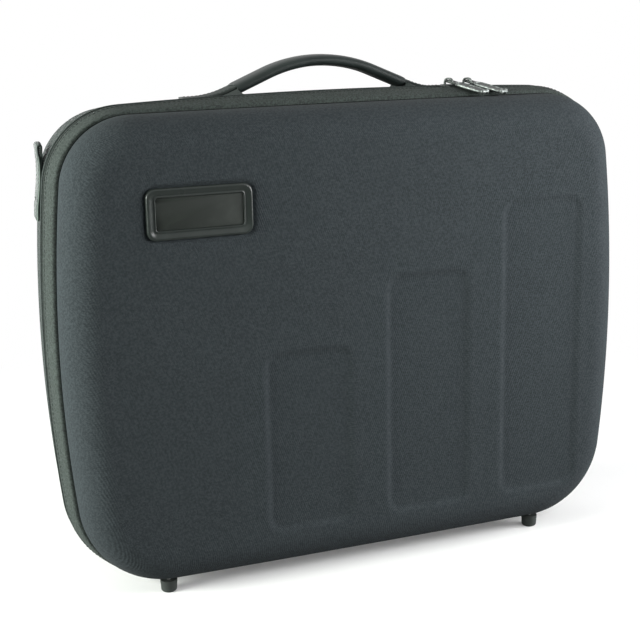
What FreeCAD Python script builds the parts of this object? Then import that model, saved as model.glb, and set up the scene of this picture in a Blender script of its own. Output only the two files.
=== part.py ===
import FreeCAD, Part
import math
import os

import Sketcher

# Moulded clamshell case for a laptop, standing on its feet, in millimetres.
# X runs along the case, -Y is the front, +Z is up, and the floor is z = 0.

# Driving dimensions
SIZES = {
    # Outline of the seam round the front shell
    "half_width": 210.0,
    "half_height": 164.0,
    "side_bow": 13.6,
    "end_bow": 1.0,
    "top_corner": 51.0,
    "bottom_corner": 64.0,
    # Depths from front to back
    "lid_depth": 29.5,
    "band_depth": 16.0,
    "zip_width": 10.0,
    "rear_depth": 69.5,
    # Ridge that carries the zip
    "ridge_side_rise": 4.3,
    "ridge_top_rise": 5.9,
    "ridge_bottom_rise": 1.0,
    "ridge_crown": 6.5,
    "ridge_bottom_bow": 2.0,
    "ridge_top_corner": 55.7,
    "band_swell_share": 0.6,
    "band_middle_share": 0.45,
    # Draft of the rear shell, in degrees
    "draft_angle": 6.3,
    # Moulded walls and edges
    "wall": 3.5,
    "lip_inset": 1.8,
    "front_round": 24.4,
    "rear_round": 24.0,
    "inner_bevel": 15.0,
    "band_wall": 2.6,
    "seam_gap": 0.3,
    # Piping in the seam
    "welt_width": 2.2,
    "welt_inset": 2.6,
    "welt_depth": 2.4,
    # Relief on the front
    "relief_depth": 1.8,
    "relief_angle": 58.0,
    "relief_corner": 11.0,
    "relief_bar": 25.0,
    "relief_width": 66.0,
    "relief_side": 38.0,
    "relief_foot": 31.0,
    "relief_head": 73.0,
    "relief_step": 46.0,
    # Name plate, left bare
    "badge_width": 71.6,
    "badge_height": 34.0,
    "badge_side": 58.4,
    "badge_head": 47.6,
    "badge_corner": 7.5,
    "badge_rim": 6.2,
    "badge_proud": 1.9,
    "badge_seat": 1.4,
    "badge_bevel": 1.2,
    "plate_recess": 1.5,
    # Zip
    "tape_inset": 1.4,
    "tape_thickness": 1.2,
    "teeth_inset": 0.9,
    "teeth_thickness": 2.2,
    "teeth_width": 2.2,
    "teeth_gap": 1.6,
    "hinge_side": 62.0,
    "stop_length": 5.0,
    "stop_wall": 0.8,
    # Zip sliders
    "slider_length": 11.5,
    "slider_width": 9.0,
    "slider_plate": 1.4,
    "slider_sole": 1.2,
    "slider_play": 0.45,
    "slider_round": 1.6,
    "post_length": 4.0,
    "post_width": 1.0,
    "inner_place": 88.0,
    "outer_place": 103.0,
    "bridge_reach": 4.0,
    "bridge_band": 1.2,
    "bridge_width": 2.0,
    "bridge_height": 5.6,
    "bar_height": 3.3,
    # Zip pulls
    "pull_length": 33.5,
    "pull_width": 8.8,
    "pull_neck": 6.4,
    "pull_neck_length": 8.0,
    "pull_neck_thickness": 1.5,
    "pull_thickness": 2.0,
    "pull_window_length": 4.5,
    "pull_window_width": 3.8,
    "pull_bar": 1.5,
    "pull_rim": 1.1,
    "pull_rim_depth": 0.45,
    "pull_stud": 1.15,
    "pull_turn_angle": 27.0,
    "pull_dip_angle": 12.0,
    # Handle
    "tail_sink": 2.02,
    "handle_place": 40.0,
    "handle_radius": 108.0,
    "handle_angle": 22.8,
    "flank_length": 30.0,
    "flare_radius": 66.0,
    "tail_length": 7.0,
    "grip_flank": 25.7,
    "grip_thickness": 8.0,
    "grip_width": 24.0,
    "grip_bevel": 2.6,
    "strap_depth": 1.3,
    "strap_thickness": 2.2,
    "strap_width": 19.0,
    "hump_width": 27.0,
    "hump_overlap": 3.0,
    "hump_root_depth": 9.9,
    "anchor_root_depth": 3.3,
    "anchor_face_depth": 11.9,
    "anchor_place": 86.0,
    "anchor_length": 30.0,
    "anchor_width": 22.0,
    "anchor_thickness": 1.6,
    "anchor_screw_spacing": 16.0,
    # Screws
    "screw_shank": 1.5,
    "screw_head": 3.2,
    "screw_head_height": 1.8,
    "anchor_screw_length": 9.0,
    # Feet
    "foot_side": 65.5,
    "front_foot_back": 8.6,
    "rear_foot_place": 30.0,
    "foot_height": 7.2,
    "foot_bite": 0.2,
    "foot_radius": 6.0,
    "foot_bevel": 1.5,
    "foot_taper_angle": 3.6,
    "foot_boss": 7.2,
    "foot_screw_length": 9.5,
    # Side loops for a shoulder strap
    "loop_head": 20.5,
    "loop_height": 52.5,
    "loop_inset": 3.1,
    "loop_layer": 1.6,
    "loop_eye": 0.6,
    "loop_width": 24.0,
    "loop_front": 2.0,
    "loop_seat_height": 24.0,
    "loop_plate": 2.0,
    "loop_rivet": 1.6,
    "loop_rivet_head": 3.4,
    "loop_rivet_head_height": 1.2,
    # Hinge strip
    "hinge_drop": 1.6,
    "hinge_bead": 1.6,
    "strip_thickness": 1.0,
    "strip_clearance": 0.6,
    # Inside
    "lining_thickness": 1.2,
    "lining_margin": 27.0,
    "pad_thickness": 6.0,
    "pad_side_margin": 34.0,
    "pad_end_margin": 38.0,
    "pad_corner": 20.0,
    "block_leg": 52.0,
    "block_wall": 14.0,
    "block_depth": 30.0,
    "laptop_strap_width": 38.0,
    "laptop_strap_place": 70.0,
    "laptop_strap_thickness": 1.6,
    "patch_length": 70.0,
    "patch_thickness": 1.2,
    "pocket_side": 70.0,
    "pocket_foot": 51.0,
    "pocket_head": 99.0,
    "pocket_depth": 12.0,
    "pocket_wall": 1.4,
    "binding_height": 9.0,
    "binding_wall": 0.9,
    # How far a cut runs past its work
    "overrun": 4.0,
}

# Places of the rivets across a side loop, as shares of its width
LOOP_RIVET_SHARES = (0.27, 0.73)

# Straight tip end of a pull, as a share of half of its width
PULL_TIP_SHARE = 0.7

# How close an edge lies to a plane that holds it
CLOSE = 1e-3

# Least share of a solid that a cut takes away
LEAST_CUT_SHARE = 1e-7

doc = FreeCAD.newDocument("laptop_case")
sheet = doc.addObject("Spreadsheet::Sheet", "sizes")
for row, (alias, number) in enumerate(SIZES.items(), start=1):
    sheet.set("A%d" % row, alias)
    sheet.set("B%d" % row, str(number))
    sheet.setAlias("B%d" % row, alias)
doc.recompute()


class Size:
    """A length, share or angle, with the sheet formula that gives it."""

    def __init__(self, value, text):
        self.value = value
        self.text = text

    def __add__(self, other):
        other = as_size(other)
        return Size(self.value + other.value, "(%s + %s)" % (self.text, other.text))

    def __sub__(self, other):
        other = as_size(other)
        return Size(self.value - other.value, "(%s - %s)" % (self.text, other.text))

    def __mul__(self, other):
        other = as_size(other)
        return Size(self.value * other.value, "(%s * %s)" % (self.text, other.text))

    def __truediv__(self, other):
        other = as_size(other)
        return Size(self.value / other.value, "(%s / %s)" % (self.text, other.text))

    def __neg__(self):
        return Size(-self.value, "(0 - %s)" % self.text)

    __radd__ = __add__
    __rmul__ = __mul__


def as_size(thing):
    """A plain number becomes a constant term of a formula."""
    if isinstance(thing, Size):
        return thing
    return Size(float(thing), repr(thing))


def sine(angle):
    return Size(math.sin(math.radians(angle.value)), "sin(%s * 1 deg)" % angle.text)


def cosine(angle):
    return Size(math.cos(math.radians(angle.value)), "cos(%s * 1 deg)" % angle.text)


def tangent(angle):
    return Size(math.tan(math.radians(angle.value)), "tan(%s * 1 deg)" % angle.text)


def root(size):
    return Size(math.sqrt(size.value), "sqrt(%s)" % size.text)


S = {alias: Size(number, "sizes." + alias) for alias, number in SIZES.items()}
ZERO = as_size(0)


# Stations from front to back
DEPTH = S["lid_depth"] + S["band_depth"] + S["zip_width"] + S["rear_depth"]
FRONT = (S["badge_proud"] - DEPTH) / 2
SEAM = FRONT + S["lid_depth"]
RIDGE = SEAM + S["band_depth"]
ZIP = RIDGE + S["zip_width"] / 2
REAR = RIDGE + S["zip_width"]
BACK = REAR + S["rear_depth"]
LIP = SEAM - S["welt_width"] / 2
BAND = SEAM + S["welt_width"] / 2

# Levels, and places that keep their distance from the sides
CENTRE = S["foot_height"] - S["foot_bite"] + S["half_height"]
SEAM_BASE = CENTRE - S["half_height"]
SEAM_TOP = CENTRE + S["half_height"]
CROWN = SEAM_TOP + S["ridge_top_rise"]
HINGE_REACH = S["half_width"] - S["hinge_side"]
FOOT_PLACE = S["half_width"] - S["foot_side"]
LOOP_TOP = SEAM_TOP - S["loop_head"]
LOOP_BOTTOM = LOOP_TOP - S["loop_height"]
POCKET_REACH = S["half_width"] - S["pocket_side"]
POCKET_BASE = SEAM_BASE + S["pocket_foot"]
POCKET_TOP = SEAM_TOP - S["pocket_head"]


class Outline:
    """Rounded rectangle whose four sides are shallow arcs, upright about the case's centre."""

    def __init__(self, half_width, top, bottom, bows, corners, growth=ZERO):
        self.half_width = half_width
        self.top = top
        self.bottom = bottom
        self.bows = bows
        self.corners = corners
        self.growth = growth

    def grown(self, amount):
        """The same outline, offset outwards."""
        growth = self.growth + amount
        return Outline(self.half_width, self.top, self.bottom, self.bows, self.corners, growth)

    def toward(self, other, share):
        """An outline part of the way to another one."""
        def mix(near, far):
            return near + (far - near) * share
        bows = [mix(a, b) for a, b in zip(self.bows, other.bows)]
        corners = [mix(a, b) for a, b in zip(self.corners, other.corners)]
        return Outline(mix(self.half_width, other.half_width), mix(self.top, other.top),
                       mix(self.bottom, other.bottom), bows, corners)

    def side_radius(self):
        reach = (self.top + self.bottom) / 2
        bow = self.bows[0]
        return (reach * reach + bow * bow) / (bow * 2)

    def end_radius(self, bow):
        return (self.half_width * self.half_width + bow * bow) / (bow * 2)

    def height_at(self, place):
        """Height of the top side above the centre, where it is not yet the corner."""
        return self.top + self.growth - self.bows[1] * place * place / self.half_width / self.half_width


SEAM_LINE = Outline(S["half_width"], S["half_height"], S["half_height"],
                    [S["side_bow"], S["end_bow"], S["end_bow"]],
                    [S["top_corner"], S["bottom_corner"]])
SHELL_LINE = SEAM_LINE.grown(-S["lip_inset"])
RIDGE_LINE = Outline(S["half_width"] + S["ridge_side_rise"], S["half_height"] + S["ridge_top_rise"],
                     S["half_height"] + S["ridge_bottom_rise"],
                     [S["side_bow"], S["ridge_crown"], S["ridge_bottom_bow"]],
                     [S["ridge_top_corner"], S["bottom_corner"]])
BACK_LINE = RIDGE_LINE.grown(-S["rear_depth"] * tangent(S["draft_angle"]))
SWELL_LINE = SEAM_LINE.toward(RIDGE_LINE, S["band_swell_share"])


# Sketch helpers
def body(label):
    part_body = doc.addObject("PartDesign::Body", label)
    part_body.Label = label
    return part_body


def sketch(part_body, role, station):
    """A sketch on one of the body's own planes, moved square to it to its station."""
    index = len(part_body.Group)
    drawing = part_body.newObject("Sketcher::SketchObject", "%s_drawing_%d" % (part_body.Label, index))
    plane = [f for f in part_body.Origin.OriginFeatures if f.Role == role][0]
    drawing.AttachmentSupport = [(plane, "")]
    drawing.MapMode = "FlatFace"
    along = -station if role == "XZ_Plane" else station
    drawing.setExpression("AttachmentOffset.Base.z", along.text)
    return drawing


def hold(drawing, kind, *arguments, size):
    """A dimension of a sketch, driven by a formula."""
    number = drawing.addConstraint(Sketcher.Constraint(kind, *arguments, size.value))
    drawing.setExpression("Constraints[%d]" % number, size.text)


def place(drawing, geometry, end, across, up):
    hold(drawing, "DistanceX", -1, 1, geometry, end, size=across)
    hold(drawing, "DistanceY", -1, 1, geometry, end, size=up)


def corner_centre(line, side, end, corner):
    """Centre of a corner arc that touches a side arc and an end arc from inside."""
    (side_x, side_z, side_r), (end_x, end_z, end_r) = side, end
    reach, swing = side_r - corner, end_r - corner
    gap = math.hypot(end_x - side_x, end_z - side_z)
    along = (reach ** 2 - swing ** 2 + gap ** 2) / (2 * gap)
    off = math.sqrt(max(reach ** 2 - along ** 2, 0))
    ux, uz = (end_x - side_x) / gap, (end_z - side_z) / gap
    spots = [(side_x + ux * along - uz * off * turn, side_z + uz * along + ux * off * turn)
             for turn in (1, -1)]
    want_x = math.copysign(line, -side_x)
    return min(spots, key=lambda spot: abs(spot[0] - want_x) + abs(spot[1] + end_z))


def draw_outline(drawing, line):
    """Four shallow arcs and four corner arcs, each tangent to the next, anticlockwise."""
    growth = line.growth
    side_r = line.side_radius() + growth
    radii = [side_r, line.end_radius(line.bows[1]) + growth,
             side_r, line.end_radius(line.bows[2]) + growth]
    centres = [(line.half_width - line.side_radius(), CENTRE),
               (ZERO, CENTRE + line.top - line.end_radius(line.bows[1])),
               (-(line.half_width - line.side_radius()), CENTRE),
               (ZERO, CENTRE - line.bottom + line.end_radius(line.bows[2]))]
    corners = [line.corners[0] + growth, line.corners[0] + growth,
               line.corners[1] + growth, line.corners[1] + growth]
    plain = [(x.value, z.value, r.value) for (x, z), r in zip(centres, radii)]
    spots = []
    for number in range(4):
        first, second = plain[number], plain[(number + 1) % 4]
        side, end = (first, second) if number % 2 == 0 else (second, first)
        shifted_side = (side[0], side[1] - CENTRE.value, side[2])
        shifted_end = (end[0], end[1] - CENTRE.value, end[2])
        x, z = corner_centre(line.half_width.value - corners[number].value, shifted_side, shifted_end,
                             corners[number].value)
        spots.append((x, z + CENTRE.value))
    arcs = []
    for number in range(4):
        before, after = spots[number - 1], spots[number]
        cx, cz, radius = plain[number]
        start = math.atan2(before[1] - cz, before[0] - cx)
        stop = math.atan2(after[1] - cz, after[0] - cx)
        arcs.append((cx, cz, radius, start, stop, radii[number], centres[number]))
        nx, nz, _ = plain[(number + 1) % 4]
        ex, ez = after
        leave = math.atan2(ez - cz, ex - cx)
        enter = math.atan2(ez - nz, ex - nx)
        arcs.append((ex, ez, corners[number].value, leave, enter, corners[number], None))
    first = drawing.GeometryCount
    for cx, cz, radius, start, stop, _, _ in arcs:
        circle = Part.Circle(FreeCAD.Vector(cx, cz, 0), FreeCAD.Vector(0, 0, 1), radius)
        drawing.addGeometry(Part.ArcOfCircle(circle, start, stop), False)
    count = len(arcs)
    for number in range(count):
        after = (number + 1) % count
        drawing.addConstraint(Sketcher.Constraint("Tangent", first + number, 2, first + after, 1))
    for number, (_, _, _, _, _, radius, centre) in enumerate(arcs):
        hold(drawing, "Radius", first + number, size=radius)
        if centre:
            place(drawing, first + number, 3, *centre)


def draw_path(drawing, points):
    """A closed path: each point is (across, up) or (across, up, radius, way) for an arc that ends there."""
    first = drawing.GeometryCount
    count = len(points)
    spots = [FreeCAD.Vector(p[0].value, p[1].value, 0) for p in points]
    for number, point in enumerate(points):
        begin, end = spots[number - 1], spots[number]
        if len(point) == 2:
            drawing.addGeometry(Part.LineSegment(begin, end), False)
            continue
        radius, way = point[2], point[3]
        chord = end - begin
        middle = (begin + end) / 2
        height = math.sqrt(max(radius.value ** 2 - (chord.Length / 2) ** 2, 0))
        left = FreeCAD.Vector(-chord.y, chord.x, 0).normalize()
        centre = middle + left * (height * way)
        angles = [math.atan2(spot.y - centre.y, spot.x - centre.x) for spot in (begin, end)]
        if way < 0:
            angles.reverse()
        circle = Part.Circle(centre, FreeCAD.Vector(0, 0, 1), radius.value)
        drawing.addGeometry(Part.ArcOfCircle(circle, angles[0], angles[1]), False)
    for number, point in enumerate(points):
        this, after = first + number, first + (number + 1) % count
        turned = len(point) > 2 and point[3] < 0
        turned_after = len(points[(number + 1) % count]) > 2 and points[(number + 1) % count][3] < 0
        end, start = (1 if turned else 2), (2 if turned_after else 1)
        drawing.addConstraint(Sketcher.Constraint("Coincident", this, end, after, start))
        place(drawing, this, end, point[0], point[1])
        if len(point) > 2:
            hold(drawing, "Radius", this, size=point[2])


def draw_round_box(drawing, left, right, low, high, corner):
    """A rectangle with rounded corners."""
    draw_path(drawing, [
        (right - corner, low), (right, low + corner, corner, 1),
        (right, high - corner), (right - corner, high, corner, 1),
        (left + corner, high), (left, high - corner, corner, 1),
        (left, low + corner), (left + corner, low, corner, 1)])


def draw_box(drawing, left, right, low, high):
    draw_path(drawing, [(right, low), (right, high), (left, high), (left, low)])


def draw_circle(drawing, across, up, radius):
    circle = Part.Circle(FreeCAD.Vector(across.value, up.value, 0), FreeCAD.Vector(0, 0, 1), radius.value)
    number = drawing.addGeometry(circle, False)
    hold(drawing, "Radius", number, size=radius)
    place(drawing, number, 3, across, up)


# Feature helpers
def add_feature(kind, part_body):
    name = "%s_%s_%d" % (part_body.Label, kind, len(part_body.Group))
    return part_body.newObject("PartDesign::" + kind, name)


def extrude(kind, part_body, drawing, length, turned=False, both=False, taper=None):
    before = part_body.Tip.Shape.Volume if kind == "Pocket" else 0
    feature = add_feature(kind, part_body)
    feature.Profile = drawing
    feature.setExpression("Length", length.text)
    feature.Reversed = turned
    if both:
        feature.SideType = "Symmetric"
    if taper:
        feature.setExpression("TaperAngle", taper.text)
    doc.recompute()
    if kind == "Pocket" and feature.Shape.Volume > before - before * LEAST_CUT_SHARE:
        raise RuntimeError("%s cuts nothing" % feature.Name)
    return feature


def pad(part_body, drawing, length, **options):
    return extrude("Pad", part_body, drawing, length, **options)


def pocket(part_body, drawing, length, **options):
    return extrude("Pocket", part_body, drawing, length, **options)


def loft(kind, part_body, drawings, ruled=True):
    feature = add_feature(kind, part_body)
    feature.Profile = drawings[0]
    feature.Sections = drawings[1:]
    feature.Ruled = ruled
    doc.recompute()
    return feature


def ease(part_body, radius, wanted, kind="Fillet"):
    """Round or bevel the edges of the body's last feature that a test picks."""
    base = part_body.Tip
    names = ["Edge%d" % (number + 1) for number, edge in enumerate(base.Shape.Edges) if wanted(edge)]
    if not names:
        raise RuntimeError("no edge to ease on " + part_body.Label)
    feature = add_feature(kind, part_body)
    feature.Base = (base, names)
    feature.setExpression("Radius" if kind == "Fillet" else "Size", radius.text)
    doc.recompute()
    return feature


def in_plane(axis, station):
    """A test for edges that lie in a plane square to an axis."""
    number = "xyz".index(axis)

    def test(edge):
        low = (edge.BoundBox.XMin, edge.BoundBox.YMin, edge.BoundBox.ZMin)[number]
        high = (edge.BoundBox.XMax, edge.BoundBox.YMax, edge.BoundBox.ZMax)[number]
        return abs(low - station.value) < CLOSE and abs(high - station.value) < CLOSE
    return test


def ring(part_body, outer, inner, start, end):
    """A straight-walled ring between two outlines."""
    drawing = sketch(part_body, "XZ_Plane", end)
    draw_outline(drawing, outer)
    draw_outline(drawing, inner)
    return pad(part_body, drawing, end - start)


# Front shell, with its relief, its plate seat and its foot bosses
def front_shell():
    shell = body("front_shell")
    drawing = sketch(shell, "XZ_Plane", LIP)
    draw_outline(drawing, SHELL_LINE)
    pad(shell, drawing, LIP - FRONT)
    ease(shell, S["front_round"], in_plane("y", FRONT))
    add_foot_bosses(shell, front_foot_y())
    drill_feet(shell, front_foot_y())
    hollow(shell, SHELL_LINE, LIP, FRONT + S["wall"])
    base = SEAM_BASE + S["relief_foot"]
    for number in range(3):
        right = S["half_width"] - S["relief_side"] - (S["relief_width"] + S["relief_bar"]) * number
        top = SEAM_TOP - S["relief_head"] - S["relief_step"] * number
        drawing = sketch(shell, "XZ_Plane", FRONT)
        draw_round_box(drawing, right - S["relief_width"], right, base, top, S["relief_corner"])
        pocket(shell, drawing, S["relief_depth"], taper=-S["relief_angle"])
    drawing = sketch(shell, "XZ_Plane", FRONT)
    draw_round_box(drawing, *badge_box(-S["seam_gap"]), S["badge_corner"] + S["seam_gap"])
    pocket(shell, drawing, S["badge_seat"])
    return shell


def hollow(shell, line, rim, floor, taper=None):
    """Cut a shell's hollow, from its rim to its floor, with a core whose floor edge is bevelled."""
    core = body(shell.Label + "_core")
    drawing = sketch(core, "XZ_Plane", rim)
    draw_outline(drawing, line.grown(-S["wall"]))
    near, far = sorted((rim, floor), key=lambda size: size.value)
    pad(core, drawing, far - near, turned=floor.value > rim.value, taper=taper)
    ease(core, S["inner_bevel"], in_plane("y", floor), "Chamfer")
    cut = shell.newObject("PartDesign::Boolean", shell.Label + "_hollow")
    cut.Type = "Cut"
    cut.setObjects([core])
    doc.recompute()


def badge_box(inset):
    """Left, right, low and high of the plate frame, less an inset."""
    left, top = S["badge_side"] - S["half_width"], SEAM_TOP - S["badge_head"]
    return (left + inset, left + S["badge_width"] - inset, top - S["badge_height"] + inset, top - inset)


# Feet and what holds them
def front_foot_y():
    return SEAM - S["front_foot_back"]


def foot_spots(y):
    return [(-FOOT_PLACE, y), (FOOT_PLACE, y)]


def add_foot_bosses(shell, y):
    for x, where in foot_spots(y):
        drawing = sketch(shell, "XY_Plane", S["foot_height"])
        draw_circle(drawing, x, where, S["foot_boss"])
        pad(shell, drawing, S["wall"] + S["overrun"] / 2)


def drill_feet(shell, y):
    """Holes for the foot screws, up through the bosses and the wall."""
    drawing = sketch(shell, "XY_Plane", ZERO)
    for x, where in foot_spots(y):
        draw_circle(drawing, x, where, S["screw_shank"])
    pocket(shell, drawing, S["foot_height"] * 2 + S["overrun"], turned=True)


def feet(label, y):
    """Two bevelled rubber feet, each bored for its screw."""
    pair = body(label)
    drawing = sketch(pair, "XY_Plane", S["foot_height"])
    for x, where in foot_spots(y):
        draw_circle(drawing, x, where, S["foot_radius"])
    pad(pair, drawing, S["foot_height"], turned=True, taper=-S["foot_taper_angle"])
    ease(pair, S["foot_bevel"], in_plane("z", ZERO), "Chamfer")
    drawing = sketch(pair, "XY_Plane", S["foot_height"])
    for x, where in foot_spots(y):
        draw_circle(drawing, x, where, S["screw_shank"])
    pocket(pair, drawing, S["foot_height"] / 2)
    return pair


def foot_screws(label, y, face):
    """Two pan head screws from inside, with their points in the feet."""
    pair = body(label)
    for x, where in foot_spots(y):
        drawing = sketch(pair, "XY_Plane", face)
        draw_circle(drawing, x, where, S["screw_head"])
        pad(pair, drawing, S["screw_head_height"])
        drawing = sketch(pair, "XY_Plane", face)
        draw_circle(drawing, x, where, S["screw_shank"])
        pad(pair, drawing, face - S["foot_height"] / 2, turned=True)
    return pair


# Piping in the seam
def front_welt():
    welt = body("front_welt")
    outer = SEAM_LINE.grown(-S["welt_inset"])
    ring(welt, outer, outer.grown(-S["welt_depth"]), LIP, BAND)
    return welt


# Fabric band from the seam to the ridge
def front_band():
    band = body("front_band")
    middle = BAND + (RIDGE - BAND) * S["band_middle_share"]
    for kind, growth in (("AdditiveLoft", ZERO), ("SubtractiveLoft", -S["band_wall"])):
        drawings = []
        for station, line in ((BAND, SEAM_LINE), (middle, SWELL_LINE), (RIDGE, RIDGE_LINE)):
            drawing = sketch(band, "XZ_Plane", station)
            draw_outline(drawing, line.grown(growth))
            drawings.append(drawing)
        loft(kind, band, drawings)
    return band


# Zip tape with its row of teeth
def zip_half(label, fixed_edge, teeth_edge, teeth_root):
    half = body(label)
    tape = RIDGE_LINE.grown(-S["tape_inset"])
    near, far = sorted((fixed_edge, teeth_root), key=lambda size: size.value)
    ring(half, tape, tape.grown(-S["tape_thickness"]), near, far)
    teeth = RIDGE_LINE.grown(-S["teeth_inset"])
    near, far = sorted((teeth_root, teeth_edge), key=lambda size: size.value)
    ring(half, teeth, teeth.grown(-S["teeth_thickness"]), near, far)
    drawing = sketch(half, "XZ_Plane", REAR)
    draw_box(drawing, -HINGE_REACH, HINGE_REACH, -S["overrun"], CENTRE)
    pocket(half, drawing, S["zip_width"], turned=True)
    return half


def teeth_edges():
    """Edges of the two rows of teeth, front edge and root, then rear edge and root."""
    front = ZIP - S["teeth_gap"] / 2
    rear = ZIP + S["teeth_gap"] / 2
    return front, front - S["teeth_width"], rear, rear + S["teeth_width"]


# Rear shell, drawn with draft, with the humps that carry the handle
def rear_shell():
    shell = body("rear_shell")
    drawing = sketch(shell, "XZ_Plane", REAR)
    draw_outline(drawing, RIDGE_LINE)
    pad(shell, drawing, BACK - REAR, turned=True, taper=-S["draft_angle"])
    ease(shell, S["rear_round"], in_plane("y", BACK))
    add_foot_bosses(shell, S["rear_foot_place"])
    drill_feet(shell, S["rear_foot_place"])
    for side in (-1, 1):
        drawing = sketch(shell, "XZ_Plane", handle_y())
        draw_path(drawing, hump_path(side))
        pad(shell, drawing, S["hump_width"], both=True)
    hollow(shell, RIDGE_LINE, REAR, BACK - S["wall"], -S["draft_angle"])
    for side in (-1, 1):
        drawing = sketch(shell, "XY_Plane", anchor_face())
        middle = S["anchor_place"] * side
        draw_box(drawing, middle - S["anchor_length"] / 2, middle + S["anchor_length"] / 2,
                 handle_y() - S["anchor_width"] / 2, handle_y() + S["anchor_width"] / 2)
        pad(shell, drawing, S["anchor_face_depth"] - S["anchor_root_depth"])
    drawing = sketch(shell, "XY_Plane", anchor_face())
    for x in anchor_screw_places():
        draw_circle(drawing, x, handle_y(), S["screw_shank"])
    pocket(shell, drawing, S["anchor_screw_length"] - S["anchor_thickness"], turned=True)
    for side in (-1, 1):
        drawing = sketch(shell, "XZ_Plane", handle_y())
        draw_path(drawing, strap_seat_path(side))
        pocket(shell, drawing, S["strap_width"] + S["seam_gap"] * 2, both=True)
    for side in (-1, 1):
        drawing = sketch(shell, "YZ_Plane", loop_seat() * side)
        draw_box(drawing, S["loop_front"], S["loop_front"] + S["loop_width"],
                 LOOP_BOTTOM, LOOP_BOTTOM + S["loop_seat_height"])
        pocket(shell, drawing, S["overrun"] * 4, turned=side > 0)
    return shell


def handle_y():
    return RIDGE + S["handle_place"]


def hump_root():
    return CROWN - S["hump_root_depth"]


def anchor_face():
    """Level of the bosses' lower faces, which the plates lie on."""
    return CROWN - S["anchor_face_depth"]


# Handle: its top line is an arc, a straight flank, a flare and a tail on each side
def handle_apex():
    """Height of the handle's middle, which its arc, flank and flare lift above the tail."""
    bend = (S["handle_radius"] + S["flare_radius"]) * (-cosine(S["handle_angle"]) + 1)
    return CROWN - S["tail_sink"] + bend + S["flank_length"] * sine(S["handle_angle"])


def top_line(side, depth):
    """Points of the handle's top line on one side, at a depth below it."""
    slope_x, slope_z = cosine(S["handle_angle"]), sine(S["handle_angle"])
    arc_base = handle_apex() - S["handle_radius"]
    arc_x = (S["handle_radius"] - depth) * slope_z
    arc_z = arc_base + (S["handle_radius"] - depth) * slope_x
    flank_x = arc_x + S["flank_length"] * slope_x
    flank_z = arc_z - S["flank_length"] * slope_z
    flare_x = flank_x + (S["flare_radius"] + depth) * slope_z
    flare_z = flank_z + (S["flare_radius"] + depth) * slope_x - S["flare_radius"] - depth
    lip_x = arc_x + S["grip_flank"] * slope_x
    lip_z = arc_z - S["grip_flank"] * slope_z
    return {"arc": (arc_x * side, arc_z), "flank": (flank_x * side, flank_z),
            "flare": (flare_x * side, flare_z), "tail": ((flare_x + S["tail_length"]) * side, flare_z),
            "lip": (lip_x * side, lip_z)}


def band_path(top, bottom, ends):
    """Closed path of a band that follows the top line from one side to the other."""
    left, right = top_line(-1, top), top_line(1, top)
    low_left, low_right = top_line(-1, bottom), top_line(1, bottom)
    over, under = S["handle_radius"] - top, S["handle_radius"] - bottom
    if ends == "lip":
        return [right["arc"] + (over, -1), right["lip"], low_right["lip"], low_right["arc"],
                low_left["arc"] + (under, 1), low_left["lip"], left["lip"], left["arc"]]
    near, far = S["flare_radius"] + top, S["flare_radius"] + bottom
    return [right["arc"] + (over, -1), right["flank"], right["flare"] + (near, 1), right["tail"],
            low_right["tail"], low_right["flare"], low_right["flank"] + (far, -1), low_right["arc"],
            low_left["arc"] + (under, 1), low_left["flank"], low_left["flare"] + (far, -1),
            low_left["tail"], left["tail"], left["flare"], left["flank"] + (near, 1), left["arc"]]


def hump_path(side):
    """Ramp of the moulded hump under one tail of the strap."""
    depth = S["strap_depth"] + S["strap_thickness"]
    line = top_line(side, depth)
    slope_x, slope_z = cosine(S["handle_angle"]), sine(S["handle_angle"])
    gap_x, gap_z = S["seam_gap"] * slope_x * side, S["seam_gap"] * slope_z
    start_x, start_z = line["lip"][0] + gap_x, line["lip"][1] - gap_z
    lean = (start_z - hump_root()) * slope_z / slope_x
    toe = line["tail"][0] + S["hump_overlap"] * side
    return [line["flank"], line["flare"] + (S["flare_radius"] + depth, side), (toe, line["tail"][1]),
            (toe, hump_root()), (start_x - lean * side, hump_root()), (start_x, start_z)]


def strap_seat_path(side):
    """Space over the strap's tail, down to its underside."""
    depth = S["strap_depth"] + S["strap_thickness"]
    line = top_line(side, depth)
    end = line["tail"][0] + S["seam_gap"] * side
    high = line["flank"][1] + S["overrun"]
    return [line["flank"], line["flare"] + (S["flare_radius"] + depth, side), (end, line["tail"][1]),
            (end, high), (line["flank"][0], high)]


def handle_strap():
    strap = body("handle_strap")
    drawing = sketch(strap, "XZ_Plane", handle_y())
    draw_path(drawing, band_path(S["strap_depth"], S["strap_depth"] + S["strap_thickness"], "tail"))
    pad(strap, drawing, S["strap_width"], both=True)
    return strap


def handle_grip():
    grip = body("handle_grip")
    drawing = sketch(grip, "XZ_Plane", handle_y())
    draw_path(drawing, band_path(ZERO, S["grip_thickness"], "lip"))
    pad(grip, drawing, S["grip_width"], both=True)
    half = S["grip_width"] / 2

    def along(edge):
        return any(in_plane("y", handle_y() + half * way)(edge) for way in (-1, 1)) and edge.Length > half.value
    ease(grip, S["grip_bevel"], along, "Chamfer")
    drawing = sketch(grip, "XZ_Plane", handle_y())
    draw_path(drawing, band_path(S["strap_depth"], S["strap_depth"] + S["strap_thickness"], "lip"))
    pocket(grip, drawing, S["strap_width"], both=True)
    return grip


def anchor_screw_places():
    half = S["anchor_screw_spacing"] / 2
    return [S["anchor_place"] * side + half * way for side in (-1, 1) for way in (-1, 1)]


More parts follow.
